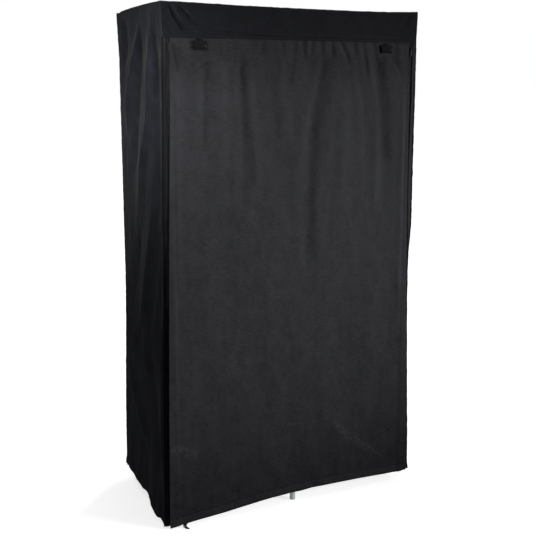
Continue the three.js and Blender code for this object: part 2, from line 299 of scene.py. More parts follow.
def turned(name, outline, sides, place, finish):
    """A closed outline of (radius, height) points, turned round the Z axis and then laid in its place."""
    points, faces = [], []
    for step in range(sides):
        angle = math.tau * step / sides
        points += [place @ Vector((r * math.cos(angle), r * math.sin(angle), h)) for r, h in outline]
    count = len(outline)
    for step in range(sides):
        here, there = step * count, (step + 1) % sides * count
        for k in range(count):
            after = (k + 1) % count
            faces.append((here + k, here + after, there + after, there + k))
    return add_mesh(name, points, faces, finish)


def tube_outline(radius, length):
    """A plain tube's wall: (radius, height) points round it."""
    inner = radius - tube_wall
    return [
        (inner, 0),
        (radius - tube_lip, 0),
        (radius, tube_lip),
        (radius, length - tube_lip),
        (radius - tube_lip, length),
        (inner, length),
    ]


def necked_outline(radius, length):
    """The wall of a tube whose upper end is drawn in to plug into the tube above it."""
    inner = radius - tube_wall
    neck = inner - neck_gap
    body = length - neck_length
    return [
        (inner, 0),
        (radius - tube_lip, 0),
        (radius, tube_lip),
        (radius, body - neck_slope),
        (neck, body),
        (neck, length - tube_lip),
        (neck - tube_wall, length),
        (neck - tube_wall, body),
        (inner, body - neck_slope - tube_wall),
    ]


def stand_for(piece, node, body):
    """The piece takes a node's place: it moves with the same body and hides the plain solid."""
    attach(piece, body)
    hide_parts(node)


tube_nodes = [s["node"] for s in frame["record"]["subparts"] if s["material_slot"] == "frame_tube"]
for node in tube_nodes:
    low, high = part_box(node)
    spans = [high[k] - low[k] for k in range(3)]
    axis = spans.index(max(spans))
    radius = spans[(axis + 1) % 3] / 2
    tube_foot = (low + high) / 2
    tube_foot[axis] = low[axis]
    turn = Vector((0, 0, 1)).rotation_difference(Vector([1.0 if k == axis else 0.0 for k in range(3)]))
    lay = Matrix.Translation(tube_foot) @ turn.to_matrix().to_4x4()
    outline = necked_outline if node.startswith("upright_lower") else tube_outline
    tube = turned(f"steel_{node}", outline(radius, spans[axis]), tube_sides, lay, powder_coat)
    stand_for(tube, node, "frame_and_cover")

# The fittings: injection-moulded plastic, satin, pale and milky, with a bead round each socket's mouth.
# Bottom corners and middle tees stand on a foot peg; two sleeves on the top side rails hold the rail.
fitting_radius = 0.012
waist_radius = 0.0112
bead_length = 0.0055
bore_radius = 0.0082
corner_reach = 0.040
corner_stop = 0.0127
tee_reach = 0.0305
tee_stop = 0.0017
sleeve_reach = 0.018
foot_radius = 0.009
foot_tread_radius = 0.0082
foot_tread_height = 0.002
fitting_voxel = 0.0010
plastic_shade = (0.70, 0.75, 0.76)
plastic_light = (0.80, 0.85, 0.86)
plastic_middle = (0.68, 0.70, 0.69)
plastic_milkiness = 0.45

moulded_plastic = new_finish("moulded_plastic", plastic_middle, 0.42, 0.4)
plastic_clouds = stretched_noise(moulded_plastic, "Object", (1, 1, 1), 60, 3)
plastic_grain = stretched_noise(moulded_plastic, "Object", (1, 1, 1), 1500, 2)
tint(moulded_plastic, ranged(moulded_plastic, plastic_clouds, 0.35, 0.7), plastic_shade, plastic_light)
surface(moulded_plastic)["Transmission Weight"].default_value = plastic_milkiness
raise_surface(moulded_plastic, plastic_grain, 0.00006, 0.3)
roughen(moulded_plastic, ranged(moulded_plastic, plastic_clouds, 0.3, 0.7, 0.36, 0.5))


def rod(radius, start, end, sides=48):
    """A solid round bar between two points, as a scratch object for joining or cutting."""
    shape = bmesh.new()
    line = Vector(end) - Vector(start)
    turn = Vector((0, 0, 1)).rotation_difference(line).to_matrix().to_4x4()
    middle = Matrix.Translation((Vector(start) + Vector(end)) / 2)
    bmesh.ops.create_cone(shape, cap_ends=True, segments=sides, radius1=radius, radius2=radius,
                          depth=line.length, matrix=middle @ turn)
    mesh = bpy.data.meshes.new("scratch")
    shape.to_mesh(mesh)
    shape.free()
    return set_down("scratch", mesh)


def settled(piece):
    """The mesh of a piece with its modifiers applied; the piece itself is taken away."""
    graph = bpy.context.evaluated_depsgraph_get()
    mesh = bpy.data.meshes.new_from_object(piece.evaluated_get(graph))
    bpy.data.objects.remove(piece)
    return mesh


def moulding(bodies, bores):
    """Joins round bars, cuts the bores out of them and softens every edge, as a mould leaves it."""
    whole = bodies[0]
    for operation, others in (("UNION", bodies[1:]), ("DIFFERENCE", bores)):
        for other in others:
            cut = whole.modifiers.new("join", "BOOLEAN")
            cut.operation = operation
            cut.solver = "EXACT"
            cut.object = other
    skin = whole.modifiers.new("skin", "REMESH")
    skin.mode = "VOXEL"
    skin.voxel_size = fitting_voxel
    soften = whole.modifiers.new("soften", "SMOOTH")
    soften.factor = 0.5
    soften.iterations = 3
    mesh = settled(whole)
    for other in bodies[1:] + bores:
        bpy.data.objects.remove(other)
    return mesh


def socket(direction, reach, stop):
    """A socket's bars: its waist, the bead at its mouth, and the bore for the tube."""
    way = Vector(direction)
    waist = rod(waist_radius, way * 0, way * reach)
    bead = rod(fitting_radius, way * (reach - bead_length), way * reach)
    return [waist, bead], rod(bore_radius, way * stop, way * (reach + bead_length))


def fitting_mesh(directions, reach, stop, foot_length):
    """A fitting with a socket each way and, where it stands on the floor, a stepped foot peg."""
    bodies, bores = [], []
    for direction in directions:
        bars, bore = socket(direction, reach, stop)
        bodies += bars
        bores.append(bore)
    if foot_length:
        bodies.append(rod(foot_radius, (0, 0, 0), (0, 0, foot_tread_height - foot_length)))
        bodies.append(rod(foot_tread_radius, (0, 0, 0), (0, 0, -foot_length)))
    return moulding(bodies, bores)


def placed_copy(mesh, name, place):
    """A copy of a moulding in its place; a mirrored one has its faces turned back outwards."""
    copy = mesh.copy()
    copy.transform(place)
    if place.determinant() < 0:
        copy.flip_normals()
    copy.shade_smooth()
    copy.materials.clear()
    copy.materials.append(moulded_plastic)
    return set_down(name, copy)


def middle_of(node):
    """The middle of a node's box in the frame."""
    low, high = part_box(node)
    return (low + high) / 2


rail_height = middle_of("bottom_rail_left").z
top_height = middle_of("top_rail_left").z
post_x = middle_of("upright_upper_front_right").x
post_y = {depth: middle_of(f"upright_upper_{depth}_right").y for depth in ("front", "back")}
lower_corner = fitting_mesh([(1, 0, 0), (0, 1, 0), (0, 0, 1)], corner_reach, corner_stop, rail_height)
upper_corner = fitting_mesh([(1, 0, 0), (0, 1, 0), (0, 0, -1)], corner_reach, corner_stop, 0)
corner_levels = (("bottom", lower_corner, rail_height), ("top", upper_corner, top_height))
for depth, inward_y in (("front", 1), ("back", -1)):
    for side, inward_x in (("left", 1), ("right", -1)):
        for level, mesh, height in corner_levels:
            node = f"{level}_corner_{depth}_{side}"
            place = Matrix.Translation((-inward_x * post_x, post_y[depth], height))
            facing_in = Matrix.Diagonal((inward_x, inward_y, 1, 1))
            corner = placed_copy(mesh, f"moulded_{node}", place @ facing_in)
            stand_for(corner, node, "frame_and_cover")
tee = fitting_mesh([(1, 0, 0), (-1, 0, 0)], tee_reach, tee_stop, rail_height)
for depth in ("front", "back"):
    node = f"bottom_tee_{depth}"
    piece = placed_copy(tee, f"moulded_{node}", Matrix.Translation((0, post_y[depth], rail_height)))
    stand_for(piece, node, "frame_and_cover")
through = rod(bore_radius, (0, -sleeve_reach - bead_length, 0), (0, sleeve_reach + bead_length, 0))
sleeve_bars = [rod(waist_radius, (0, -sleeve_reach, 0), (0, sleeve_reach, 0))]
for way in (-1, 1):
    bead_start = (0, way * (sleeve_reach - bead_length), 0)
    sleeve_bars.append(rod(fitting_radius, bead_start, (0, way * sleeve_reach, 0)))
arm, arm_bore = socket((1, 0, 0), corner_reach, corner_stop)
sleeve = moulding(sleeve_bars + arm, [through, arm_bore])
for side, inward_x in (("left", 1), ("right", -1)):
    node = f"hanging_rail_sleeve_{side}"
    place = Matrix.Translation((-inward_x * post_x, middle_of("hanging_rail").y, top_height))
    piece = placed_copy(sleeve, f"moulded_{node}", place @ Matrix.Diagonal((inward_x, 1, 1, 1)))
    stand_for(piece, node, "frame_and_cover")

# The cover's sides, back and top: black spunbond non-woven cloth under a millimetre thick, heat
# bonded in a grid of dots, cut as flat panels and sewn together along the frame's edges.
cloth_thickness = 0.0008
cloth_step = 0.0065
hem_width = 0.026
hem_stitch_row = 0.0235
hem_foot_row = 0.0045
hem_zone = 0.05
hem_lines = (0.0, 0.002, hem_foot_row, 0.009, 0.015, 0.021, hem_stitch_row, hem_width, 0.028, 0.033, 0.040)
# Painted shade along the hem's crease lines and foot edge: height above the edge, reach and shade.
# Below the fade the doubled band of the hem gets a painted highlight.
hem_painted_shade_lines = ((hem_width, 0.0020, -0.85), (0.0047, 0.0017, -0.75), (0.0, 0.0014, -0.9))
hem_fade = (0.0255, 0.0240)
hem_painted_highlight = 0.14
dot_pitch = 0.0013
seam_reach = 0.018
rail_reach = 0.06
bay_half_depth = 0.205
bay_half_width = 0.415
side_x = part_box("side_panel_right")[1].x
front_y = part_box("header_band")[0].y
back_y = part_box("back_panel")[1].y
cover_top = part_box("top_panel")[1].z
cover_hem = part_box("side_panel_left")[0].z
seam_inset = 0.0006


def wear_and_shading_line(finish, start, end, width, uneven=0.6, wander_share=3):
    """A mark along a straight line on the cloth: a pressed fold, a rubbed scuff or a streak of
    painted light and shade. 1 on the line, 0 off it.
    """
    length = math.dist(start, end)
    angle = math.atan2(end[1] - start[1], end[0] - start[0])
    mapping = put(finish, "Mapping", vector_type="TEXTURE")
    mapping.inputs["Location"].default_value = (*start, 0)
    mapping.inputs["Rotation"].default_value = (0, 0, angle)
    wire(finish, put(finish, "TexCoord").outputs["UV"], mapping.inputs["Vector"])
    parts = put(finish, "SeparateXYZ")
    wire(finish, mapping.outputs["Vector"], parts.inputs[0])
    wander = put(finish, "TexNoise", Scale=22.0, Detail=2.0)
    wire(finish, mapping.outputs["Vector"], wander.inputs["Vector"])
    strayed = calc(finish, "SUBTRACT", wander.outputs["Fac"], 0.5)
    away = plus(finish, parts.outputs[1], strayed, width * wander_share)
    line = ranged(finish, calc(finish, "ABSOLUTE", away), 0.0, width, 1.0, 0.0)
    from_middle = calc(finish, "SUBTRACT", parts.outputs[0], length / 2)
    ends = ranged(finish, calc(finish, "ABSOLUTE", from_middle), length * 0.36, length * 0.5, 1.0, 0.0)
    rubs = put(finish, "TexNoise", Scale=95.0, Detail=3.0)
    wire(finish, mapping.outputs["Vector"], rubs.inputs["Vector"])
    rubbed = ranged(finish, rubs.outputs["Fac"], 0.42, 0.62, 1 - uneven, 1.0)
    return calc(finish, "MULTIPLY", calc(finish, "MULTIPLY", line, ends), rubbed)


def nonwoven(name, dark, light, folds=(), scuffs=(), painted_shading=()):
    """Spunbond cloth: bonded dots in a slanting grid, loose fibres that run mostly across, and soft
    clouds where it is thicker. folds are lines pressed in the packing, scuffs are paler rubbed ones,
    and the last list is of broad soft streaks of painted shade and painted highlight."""
    finish = new_finish(name, dark, 0.8, 0.12)
    mapping = put(finish, "Mapping", Rotation=(0, 0, math.radians(45)))
    wire(finish, put(finish, "TexCoord").outputs["UV"], mapping.inputs["Vector"])
    dots = put(finish, "TexVoronoi", voronoi_dimensions="2D", Scale=1 / dot_pitch, Randomness=0.0)
    wire(finish, mapping.outputs["Vector"], dots.inputs["Vector"])
    bond = ranged(finish, dots.outputs["Distance"], 0.18, 0.4, 1.0, 0.0)
    fibres = stretched_noise(finish, "UV", (0.4, 1, 1), 1500, 4, 0.7)
    clouds = stretched_noise(finish, "UV", (1, 0.9, 1), 19, 6, 0.66)
    across = stretched_noise(finish, "UV", (0.22, 1, 1), 260, 3, 0.6)
    down = stretched_noise(finish, "UV", (1, 0.3, 1), 210, 3, 0.6)
    cloudy = plus(finish, calc(finish, "MULTIPLY", clouds, 0.5), across, 0.36)
    cloudy = plus(finish, cloudy, down, 0.14)
    shade = plus(finish, ranged(finish, cloudy, 0.34, 0.66), bond, -0.2)
    shade = plus(finish, shade, calc(finish, "SUBTRACT", fibres, 0.5), 0.5)
    thick = calc(finish, "MULTIPLY", plus(finish, across, down, 0.6), 0.00012)
    grain = calc(finish, "MULTIPLY", plus(finish, fibres, bond, -0.9), 0.0001)
    broad = stretched_noise(finish, "UV", (1, 0.35, 1), 8, 2, 0.5)
    waves = stretched_noise(finish, "UV", (0.8, 1, 1), 27, 3, 0.6)
    relief = plus(finish, calc(finish, "MULTIPLY", broad, 0.016), waves, 0.0042)
    height = calc(finish, "ADD", relief, calc(finish, "ADD", grain, thick))
    for start, end, width, rise in folds:
        mark = wear_and_shading_line(finish, start, end, width)
        height = plus(finish, height, mark, rise)
        shade = plus(finish, shade, mark, 0.35)
    for start, end, width, paleness in scuffs:
        shade = plus(finish, shade, wear_and_shading_line(finish, start, end, width, 0.95), paleness)
    # Broad streaks of painted shade and painted highlight.
    for start, end, width, paleness in painted_shading:
        shade = plus(finish, shade, wear_and_shading_line(finish, start, end, width, 0.0, 0.5), paleness)
    hem_map = put(finish, "SeparateXYZ")
    wire(finish, put(finish, "UVMap", uv_map="hem").outputs["UV"], hem_map.inputs[0])
    nearness = hem_map.outputs[0]
    # Painted shade along the hem's crease lines and edge, and a painted highlight on its doubled band.
    for line_above, reach, paleness in hem_painted_shade_lines:
        from_line = calc(finish, "SUBTRACT", nearness, 1 - line_above / hem_zone)
        line = ranged(finish, calc(finish, "ABSOLUTE", from_line), 0, reach / hem_zone, paleness, 0)
        shade = calc(finish, "ADD", shade, line)
    fade_start, fade_end = (1 - above / hem_zone for above in hem_fade)
    doubled = ranged(finish, nearness, fade_start, fade_end, 0, hem_painted_highlight)
    shade = calc(finish, "ADD", shade, doubled)
    mix = tint(finish, shade, dark, light)
    mix.clamp_factor = False
    mix.clamp_result = True
    raise_surface(finish, height, 1.0, 0.7)
    roughen(finish, ranged(finish, clouds, 0.3, 0.7, 0.72, 0.86))
    surface(finish)["Sheen Weight"].default_value = 0.04
    surface(finish)["Sheen Roughness"].default_value = 0.45
    return finish


packed_folds = (
    ((-0.44, 0.405), (0.44, 0.402), 0.0022, 0.0004),
    ((-0.44, 0.803), (0.44, 0.806), 0.0022, -0.0005),
    ((-0.44, 1.203), (0.44, 1.200), 0.0022, 0.0004),
    ((0.004, 0.05), (-0.003, 1.55), 0.0022, 0.0005),
)
cover_dark = (0.0154, 0.0167, 0.0221)
cover_light = (0.0296, 0.0319, 0.0417)
cover_cloth = nonwoven("cover_cloth", cover_dark, cover_light, packed_folds)
# Painted highlights on the left side's fold ridges and painted shade between them, with a broad
# band of painted shade high up and a broad painted highlight low down: start, end, width, paleness.
left_painted_light = (
    ((-0.088, 1.540), (-0.058, 1.265), 0.011, 2.2),
    ((-0.061, 1.290), (-0.008, 1.170), 0.013, 2.6),
    ((-0.014, 1.184), (0.047, 1.060), 0.013, 1.8),
    ((0.002, 1.560), (0.064, 1.455), 0.012, 1.2),
    ((0.052, 1.474), (0.142, 1.332), 0.014, 2.0),
    ((0.130, 1.352), (0.187, 1.190), 0.016, 1.5),
    ((-0.180, 1.450), (-0.222, 1.250), 0.010, 1.0),
    ((-0.214, 1.590), (-0.216, 1.490), 0.006, 1.3),
    ((-0.030, 1.560), (0.040, 1.250), 0.050, -0.7),
    ((-0.165, 1.560), (-0.140, 1.320), 0.034, -0.7),
    ((0.180, 1.580), (0.200, 1.350), 0.040, -0.5),
    ((0.240, 0.590), (0.090, 0.500), 0.050, -0.5),
    ((0.120, 0.520), (-0.080, 0.450), 0.050, -0.4),
    ((-0.160, 0.900), (-0.105, 0.690), 0.016, 0.8),
    ((-0.125, 0.760), (-0.050, 0.560), 0.022, 0.8),
    ((-0.220, 0.930), (0.220, 0.930), 0.170, -0.25),
    ((-0.220, 0.420), (0.220, 0.420), 0.220, 0.40),
)
# The left side's own copy of the cloth carries these painted highlights and painted shade.
left_side_painted_cloth = nonwoven("left_side_cloth", cover_dark, cover_light, packed_folds, (), left_painted_light)


def ease(share):
    """A share from 0 to 1 that starts and ends softly."""
    return share * share * (3 - 2 * share)


def ramp(start, end, value):
    """0 up to the start, 1 from the end on and soft between them; the end may be the lower one."""
    return ease(np.clip((value - start) / (end - start), 0, 1))


def drift(seed, across, along, reach_across, reach_along):
    """A soft random field from -1 to 1 that changes over these distances."""
    knots = np.random.default_rng(seed).uniform(-1, 1, (97, 89))
    u, v = np.broadcast_arrays(across / reach_across + 40, along / reach_along + 40)
    i, j = np.floor(u).astype(int), np.floor(v).astype(int)
    s, t = ease(u - i), ease(v - j)
    near = knots[i % 97, j % 89] * (1 - s) + knots[(i + 1) % 97, j % 89] * s
    far = knots[i % 97, (j + 1) % 89] * (1 - s) + knots[(i + 1) % 97, (j + 1) % 89] * s
    return near * (1 - t) + far * t


def crease(across, along, route, width, rise):
    """A long fold. Its route is (along, across) points; it rises, or sinks, and dies away at both ends."""
    stations, middles = np.array(sorted(route)).T
    fine = np.linspace(stations[0], stations[-1], 61)
    padded = np.pad(np.interp(fine, stations, middles), 6, mode="edge")
    line = np.convolve(padded, np.ones(13) / 13, mode="valid")
    away = (across - np.interp(along, fine, line)) / width
    reach = 0.3 * (stations[-1] - stations[0])
    fade = ramp(stations[0], stations[0] + reach, along) * ramp(stations[-1], stations[-1] - reach, along)
    return rise * fade * np.exp(-np.abs(away) ** 1.6)


def creased(out, across, along, folds):
    """Adds a list of long folds to how far a cloth stands out."""
    for route, width, rise in folds:
        out = out + crease(across, along, route, width, rise)
    return out


def lay_map(mesh, name, places):
    """Gives each point of a mesh a pair of values, such as its place on the flat cloth."""
    corners = np.empty(len(mesh.loops), int)
    mesh.loops.foreach_get("vertex_index", corners)
    mesh.uv_layers.new(name=name).data.foreach_set("uv", places[corners].ravel())


def cloth_sheet(name, face, flat, finish, out=None, thickness=cloth_thickness, above=None):
    """A sewn piece from a grid of points on its face: the same grid set back by the thickness is its
    other side, and a narrow strip closes the edge. flat is where each point lies on the cut cloth, and
    above how far over the hem's edge it is."""
    rows, columns = face.shape[:2]
    normals = np.cross(np.gradient(face, axis=0), np.gradient(face, axis=1))
    normals /= np.linalg.norm(normals, axis=2, keepdims=True)
    turned_over = out is not None and (normals @ np.array(out, float)).mean() < 0
    if turned_over:
        normals = -normals
    points = np.concatenate([face.reshape(-1, 3), (face - normals * thickness).reshape(-1, 3)])
    number = np.arange(rows * columns).reshape(rows, columns)
    quads = np.stack([number[:-1, :-1], number[1:, :-1], number[1:, 1:], number[:-1, 1:]], -1).reshape(-1, 4)
    edge = np.concatenate([number[0, :-1], number[:-1, -1], number[-1, :0:-1], number[:0:-1, 0]])
    after = np.roll(edge, -1)
    back = rows * columns
    rim = np.stack([edge, after, after + back, edge + back], -1)
    faces = np.concatenate([quads, quads[:, ::-1] + back, rim])
    if turned_over:
        faces = faces[:, ::-1]
    mesh = bpy.data.meshes.new(name)
    mesh.from_pydata(points.tolist(), [], faces.tolist())
    lay_map(mesh, "flat", np.concatenate([flat.reshape(-1, 2)] * 2))
    if above is not None:
        nearness = np.clip(1 - above / hem_zone, 0, 1).reshape(-1)
        lay_map(mesh, "hem", np.stack([np.concatenate([nearness] * 2)] * 2, -1))
    mesh.shade_smooth()
    mesh.set_sharp_from_angle(angle=math.radians(55))
    mesh.materials.append(finish)
    return set_down(name, mesh)


def spaced(start, end, step):
    """Even values from start to end, about a step apart."""
    return np.linspace(start, end, int(round(abs(end - start) / step)) + 1)


def bow(height):
    """How far a corner seam leans in towards its post between the floor and the top."""
    return 0.0048 * ramp(cover_top, 1.45, height) * ramp(0.25, 0.75, height)


def flare(height):
    """How far the loose foot of the cover stands out, below the last stretch that the frame holds."""
    return 0.0085 * ramp(0.75, 0.0, height)


def stood_out(depth, height):
    """Front and back stand out less than the sides do, and a side reaches from one to the other."""
    return depth * (1 + 0.35 * flare(height) / back_y)


def hung_rows(top, hem):
    """Heights down a hanging panel: even rows, then closer ones that follow the hem."""
    body = np.linspace(0, 1, int((cover_top - cover_hem) / cloth_step))[:, None]
    lines = np.array(sorted(hem_lines, reverse=True))[:, None]
    upper = top + (hem + lines[0] - top) * body
    return np.concatenate([upper[:-1], hem + lines])


def hem_fold(heights, hem):
    """The doubled cloth of the hem stands a little proud and dips at its row of stitches."""
    above = heights - hem
    doubled = 0.0014 * ramp(hem_width + 0.002, hem_width - 0.001, above)
    dip = 0.0012 * np.exp(-((above - hem_stitch_row) / 0.0016) ** 2)
    dip = dip + 0.0007 * np.exp(-((above - hem_foot_row) / 0.0015) ** 2)
    return doubled - dip + 0.0030 * ramp(hem_width, 0, above)


def crumple(seed, across, heights, tall, fine):
    """The wrinkles that hanging cloth keeps: long soft folds, slanting smaller ones and fine crumples."""
    long_folds = tall * drift(seed, across, heights, 0.075, 0.55)
    slanting = 0.45 * tall * drift(seed + 1, across + 0.22 * heights, heights, 0.034, 0.21)
    small = fine * drift(seed + 2, across, heights, 0.018, 0.03)
    return long_folds + slanting + small


left_folds = [
    ([(1.57, -0.025), (1.52, 0.002), (1.47, 0.035), (1.40, 0.078), (1.34, 0.116), (1.20, 0.165)],
     0.017, 0.0085),
    ([(1.56, -0.108), (1.46, -0.102), (1.27, -0.085), (1.20, -0.040), (1.13, -0.005), (0.95, 0.05)],
     0.016, 0.0085),
    ([(1.585, -0.035), (1.48, -0.015), (1.40, 0.02), (1.34, 0.03), (1.15, 0.075), (1.0, 0.12)],
     0.026, -0.0075),
    ([(1.575, -0.16), (1.43, -0.165), (1.31, -0.175), (1.05, -0.16), (0.9, -0.13)], 0.030, -0.0070),
    ([(1.585, 0.13), (1.50, 0.145), (1.42, 0.165)], 0.018, -0.0050),
    ([(1.05, -0.11), (0.86, -0.06), (0.66, 0.02), (0.52, 0.09)], 0.026, 0.0060),
    ([(0.95, 0.02), (0.78, 0.09), (0.60, 0.16)], 0.030, -0.0050),
    ([(0.46, 0.19), (0.36, 0.13), (0.26, 0.03), (0.17, -0.06)], 0.030, 0.0070),
    ([(0.60, -0.02), (0.44, -0.07), (0.25, -0.13), (0.10, -0.15)], 0.030, -0.0055),
    ([(0.80, -0.195), (0.50, -0.200), (0.22, -0.197), (0.03, -0.19)], 0.022, 0.0060),
]
right_folds = [
    ([(1.58, 0.05), (1.44, 0.01), (1.25, -0.05), (1.05, -0.10)], 0.020, 0.0080),
    ([(1.58, 0.12), (1.40, 0.09), (1.18, 0.03), (0.92, -0.02)], 0.026, -0.0070),
    ([(1.50, -0.17), (1.30, -0.18), (1.02, -0.185)], 0.028, 0.0050),
    ([(0.95, 0.12), (0.75, 0.06), (0.55, 0.01), (0.35, 0.0)], 0.028, 0.0065),
    ([(0.70, 0.16), (0.50, 0.11), (0.28, 0.07), (0.08, 0.06)], 0.028, -0.0055),
]
left_hem_marks = ([-0.212, -0.190, -0.167, -0.140, -0.115, -0.090, -0.064, -0.030,
                   0.0, 0.040, 0.086, 0.120, 0.160, 0.195, 0.220],
                  [0.0042, 0.0100, 0.0123, 0.0064, 0.0052, 0.0157, 0.0211, 0.0215,
                   0.0276, 0.0206, 0.0242, 0.0254, 0.0321, 0.0345, 0.0360])
right_hem_marks = ([-0.225, -0.17, -0.09, 0.0, 0.08, 0.16, 0.225],
                   [0.026, 0.022, 0.029, 0.024, 0.030, 0.025, 0.026])


def side_top(depth):
    """The height of the seam between the top and a side, which rides up a little between the corners."""
    share = (depth - front_y) / (back_y - front_y)
    rise = 0.0030 * np.sin(math.pi * share)
    dent = 0.0035 * np.exp(-((share - 0.94) / 0.035) ** 2)
    return cover_top - 0.0008 + rise - dent


def corner_bulge(side, heights):
    """How far a front corner swells past its post, most on the left, where the cloth is slack."""
    if side < 0:
        return 0.0072 * ramp(1.40, 0.95, heights) * (1 - 0.45 * ramp(0.55, 0.25, heights))
    return 0.0055 * ramp(1.52, 1.42, heights) - 0.0015 * ramp(0.9, 0.7, heights)


def slack(side, heights):
    """1 where a front border turns back behind the door's edge, low on the wardrobe, and 0 above."""
    return ramp(0.74, 0.58, heights) if side < 0 else ramp(0.90, 0.80, heights)


def drawn_back(side, heights):
    """How far behind the front a front corner's seam lies."""
    if side < 0:
        return 0.009 * ramp(1.49, 1.40, heights) + 0.009 * ramp(0.9, 0.45, heights)
    lower = 0.010 * ramp(0.92, 0.80, heights) * (1 - 0.6 * ramp(0.35, 0.1, heights))
    return 0.004 * ramp(1.49, 1.40, heights) + lower


def kept_off_frame(out, clear, across, half_bay, heights):
    """Cloth may sink into the bay between the tubes and not into them."""
    field = ramp(half_bay, half_bay - rail_reach, np.abs(across)) * ramp(0.05, 0.12, heights)
    field = field * ramp(cover_top - 0.03, cover_top - 0.03 - rail_reach, heights)
    return np.maximum(out, -(clear + 0.013 * field))


def side_face(side, folds, seed, hem_marks):
    """A side's face, its places on the flat cloth, and how far each point is above the hem's edge."""
    depth = spaced(front_y, back_y, cloth_step)[None, :]
    uneven = 0.0014 * drift(seed + 5, depth, 0 * depth, 0.018, 1) * ramp(front_y, front_y + 0.03, depth)
    hem = np.interp(depth, *hem_marks) + uneven
    heights = hung_rows(side_top(depth), hem)
    depth = np.broadcast_to(depth, heights.shape)
    deepened = [(route, 1.35 * width, 1.6 * rise) for route, width, rise in folds]
    out = creased(crumple(seed, depth, heights, 0.0030, 0.0005), depth, heights, deepened)
    edges = ramp(front_y, front_y + seam_reach, depth) * ramp(back_y, back_y - seam_reach, depth)
    edges = edges * ramp(cover_top, cover_top - seam_reach, heights)
    flutter = 0.0050 * drift(seed + 3, depth, 0 * depth, 0.045, 1) * ramp(0.3, 0.03, heights)
    out = kept_off_frame((out + flutter) * edges, 0.0052 - bow(heights), depth, bay_half_depth, heights)
    out = out - bow(heights) + corner_bulge(side, heights) * ramp(front_y + 0.07, front_y, depth)
    x = side * (side_x - seam_inset + out + flare(heights) + hem_fold(heights, hem))
    y = stood_out(depth, heights) + drawn_back(side, heights) * ramp(front_y + 0.05, front_y, depth)
    return np.stack([x, y, heights], -1), np.stack([depth, heights], -1), heights - hem


def declare_panel(piece, node):
    """A sewn panel of the cover: it takes a node's place."""
    stand_for(piece, node, "frame_and_cover")


side_faces = {}
for side_name, side, folds, seed, marks in (
    ("left", -1, left_folds, 11, left_hem_marks),
    ("right", 1, right_folds, 23, right_hem_marks),
):
    face, flat, above = side_face(side, folds, seed, marks)
    side_faces[side_name] = face
    finish = left_side_painted_cloth if side < 0 else cover_cloth
    panel = cloth_sheet(f"cloth_side_{side_name}", face, flat, finish, (side, 0, 0), above=above)
    declare_panel(panel, f"side_panel_{side_name}")

back_folds = [
    ([(1.58, -0.30), (1.40, -0.27), (1.15, -0.20), (0.85, -0.16)], 0.030, 0.0080),
    ([(1.58, -0.20), (1.35, -0.17), (1.05, -0.10), (0.75, -0.08)], 0.034, -0.0075),
    ([(1.58, 0.05), (1.30, 0.03), (0.95, 0.05), (0.60, 0.04)], 0.030, 0.0070),
    ([(1.58, 0.24), (1.38, 0.20), (1.10, 0.17), (0.70, 0.16)], 0.034, -0.0080),
    ([(1.58, 0.33), (1.36, 0.30), (1.02, 0.26), (0.66, 0.25)], 0.026, 0.0070),
    ([(0.80, -0.28), (0.55, -0.24), (0.30, -0.22), (0.08, -0.21)], 0.036, 0.0060),
    ([(0.72, 0.10), (0.45, 0.12), (0.20, 0.14), (0.05, 0.15)], 0.038, -0.0060),
]


def sagging(edge, middle):
    """The height of a long top seam, which hangs a few millimetres lower between the corners."""
    return edge - (edge - middle) * np.cos(np.pi * 0.5 * np.clip(np.abs(across_top) / side_x, 0, 1)) ** 0.8


across_top = spaced(-side_x, side_x, cloth_step)
front_marks = ([-0.435, -0.322, -0.163, -0.025, 0.185, 0.298, 0.375, 0.435],
               [1.5995, 1.5985, 1.5955, 1.5945, 1.5940, 1.5948, 1.5965, 1.5998])
front_seam = np.interp(across_top, *front_marks)
back_seam = sagging(cover_top - 0.001, 1.5945)


def back_face():
    """The back hangs from its long top seam, with slow folds down from it."""
    across = across_top[None, :]
    hem = cover_hem + 0.004 * drift(41, across, 0 * across, 0.11, 1)
    heights = hung_rows(back_seam[None, :], hem)
    across = np.broadcast_to(across, heights.shape)
    out = creased(crumple(43, across, heights, 0.0034, 0.0005), across, heights, back_folds)
    edges = ramp(side_x, side_x - seam_reach, np.abs(across))
    edges = edges * ramp(cover_top, cover_top - seam_reach, heights)
    flutter = 0.0045 * drift(46, across, 0 * across, 0.07, 1) * ramp(0.3, 0.03, heights)
    out = kept_off_frame((out + flutter) * edges, 0.0048, across, bay_half_width, heights)
    x = across * (1 + (flare(heights) - bow(heights)) / side_x)
    y = stood_out(back_y - seam_inset, heights) + out + hem_fold(heights, hem)
    return np.stack([x, y, heights], -1), np.stack([across, heights], -1), heights - hem


back_grid, back_flat, back_above = back_face()
back_panel = cloth_sheet("cloth_back", back_grid, back_flat, cover_cloth, (0, 1, 0), above=back_above)
declare_panel(back_panel, "back_panel")


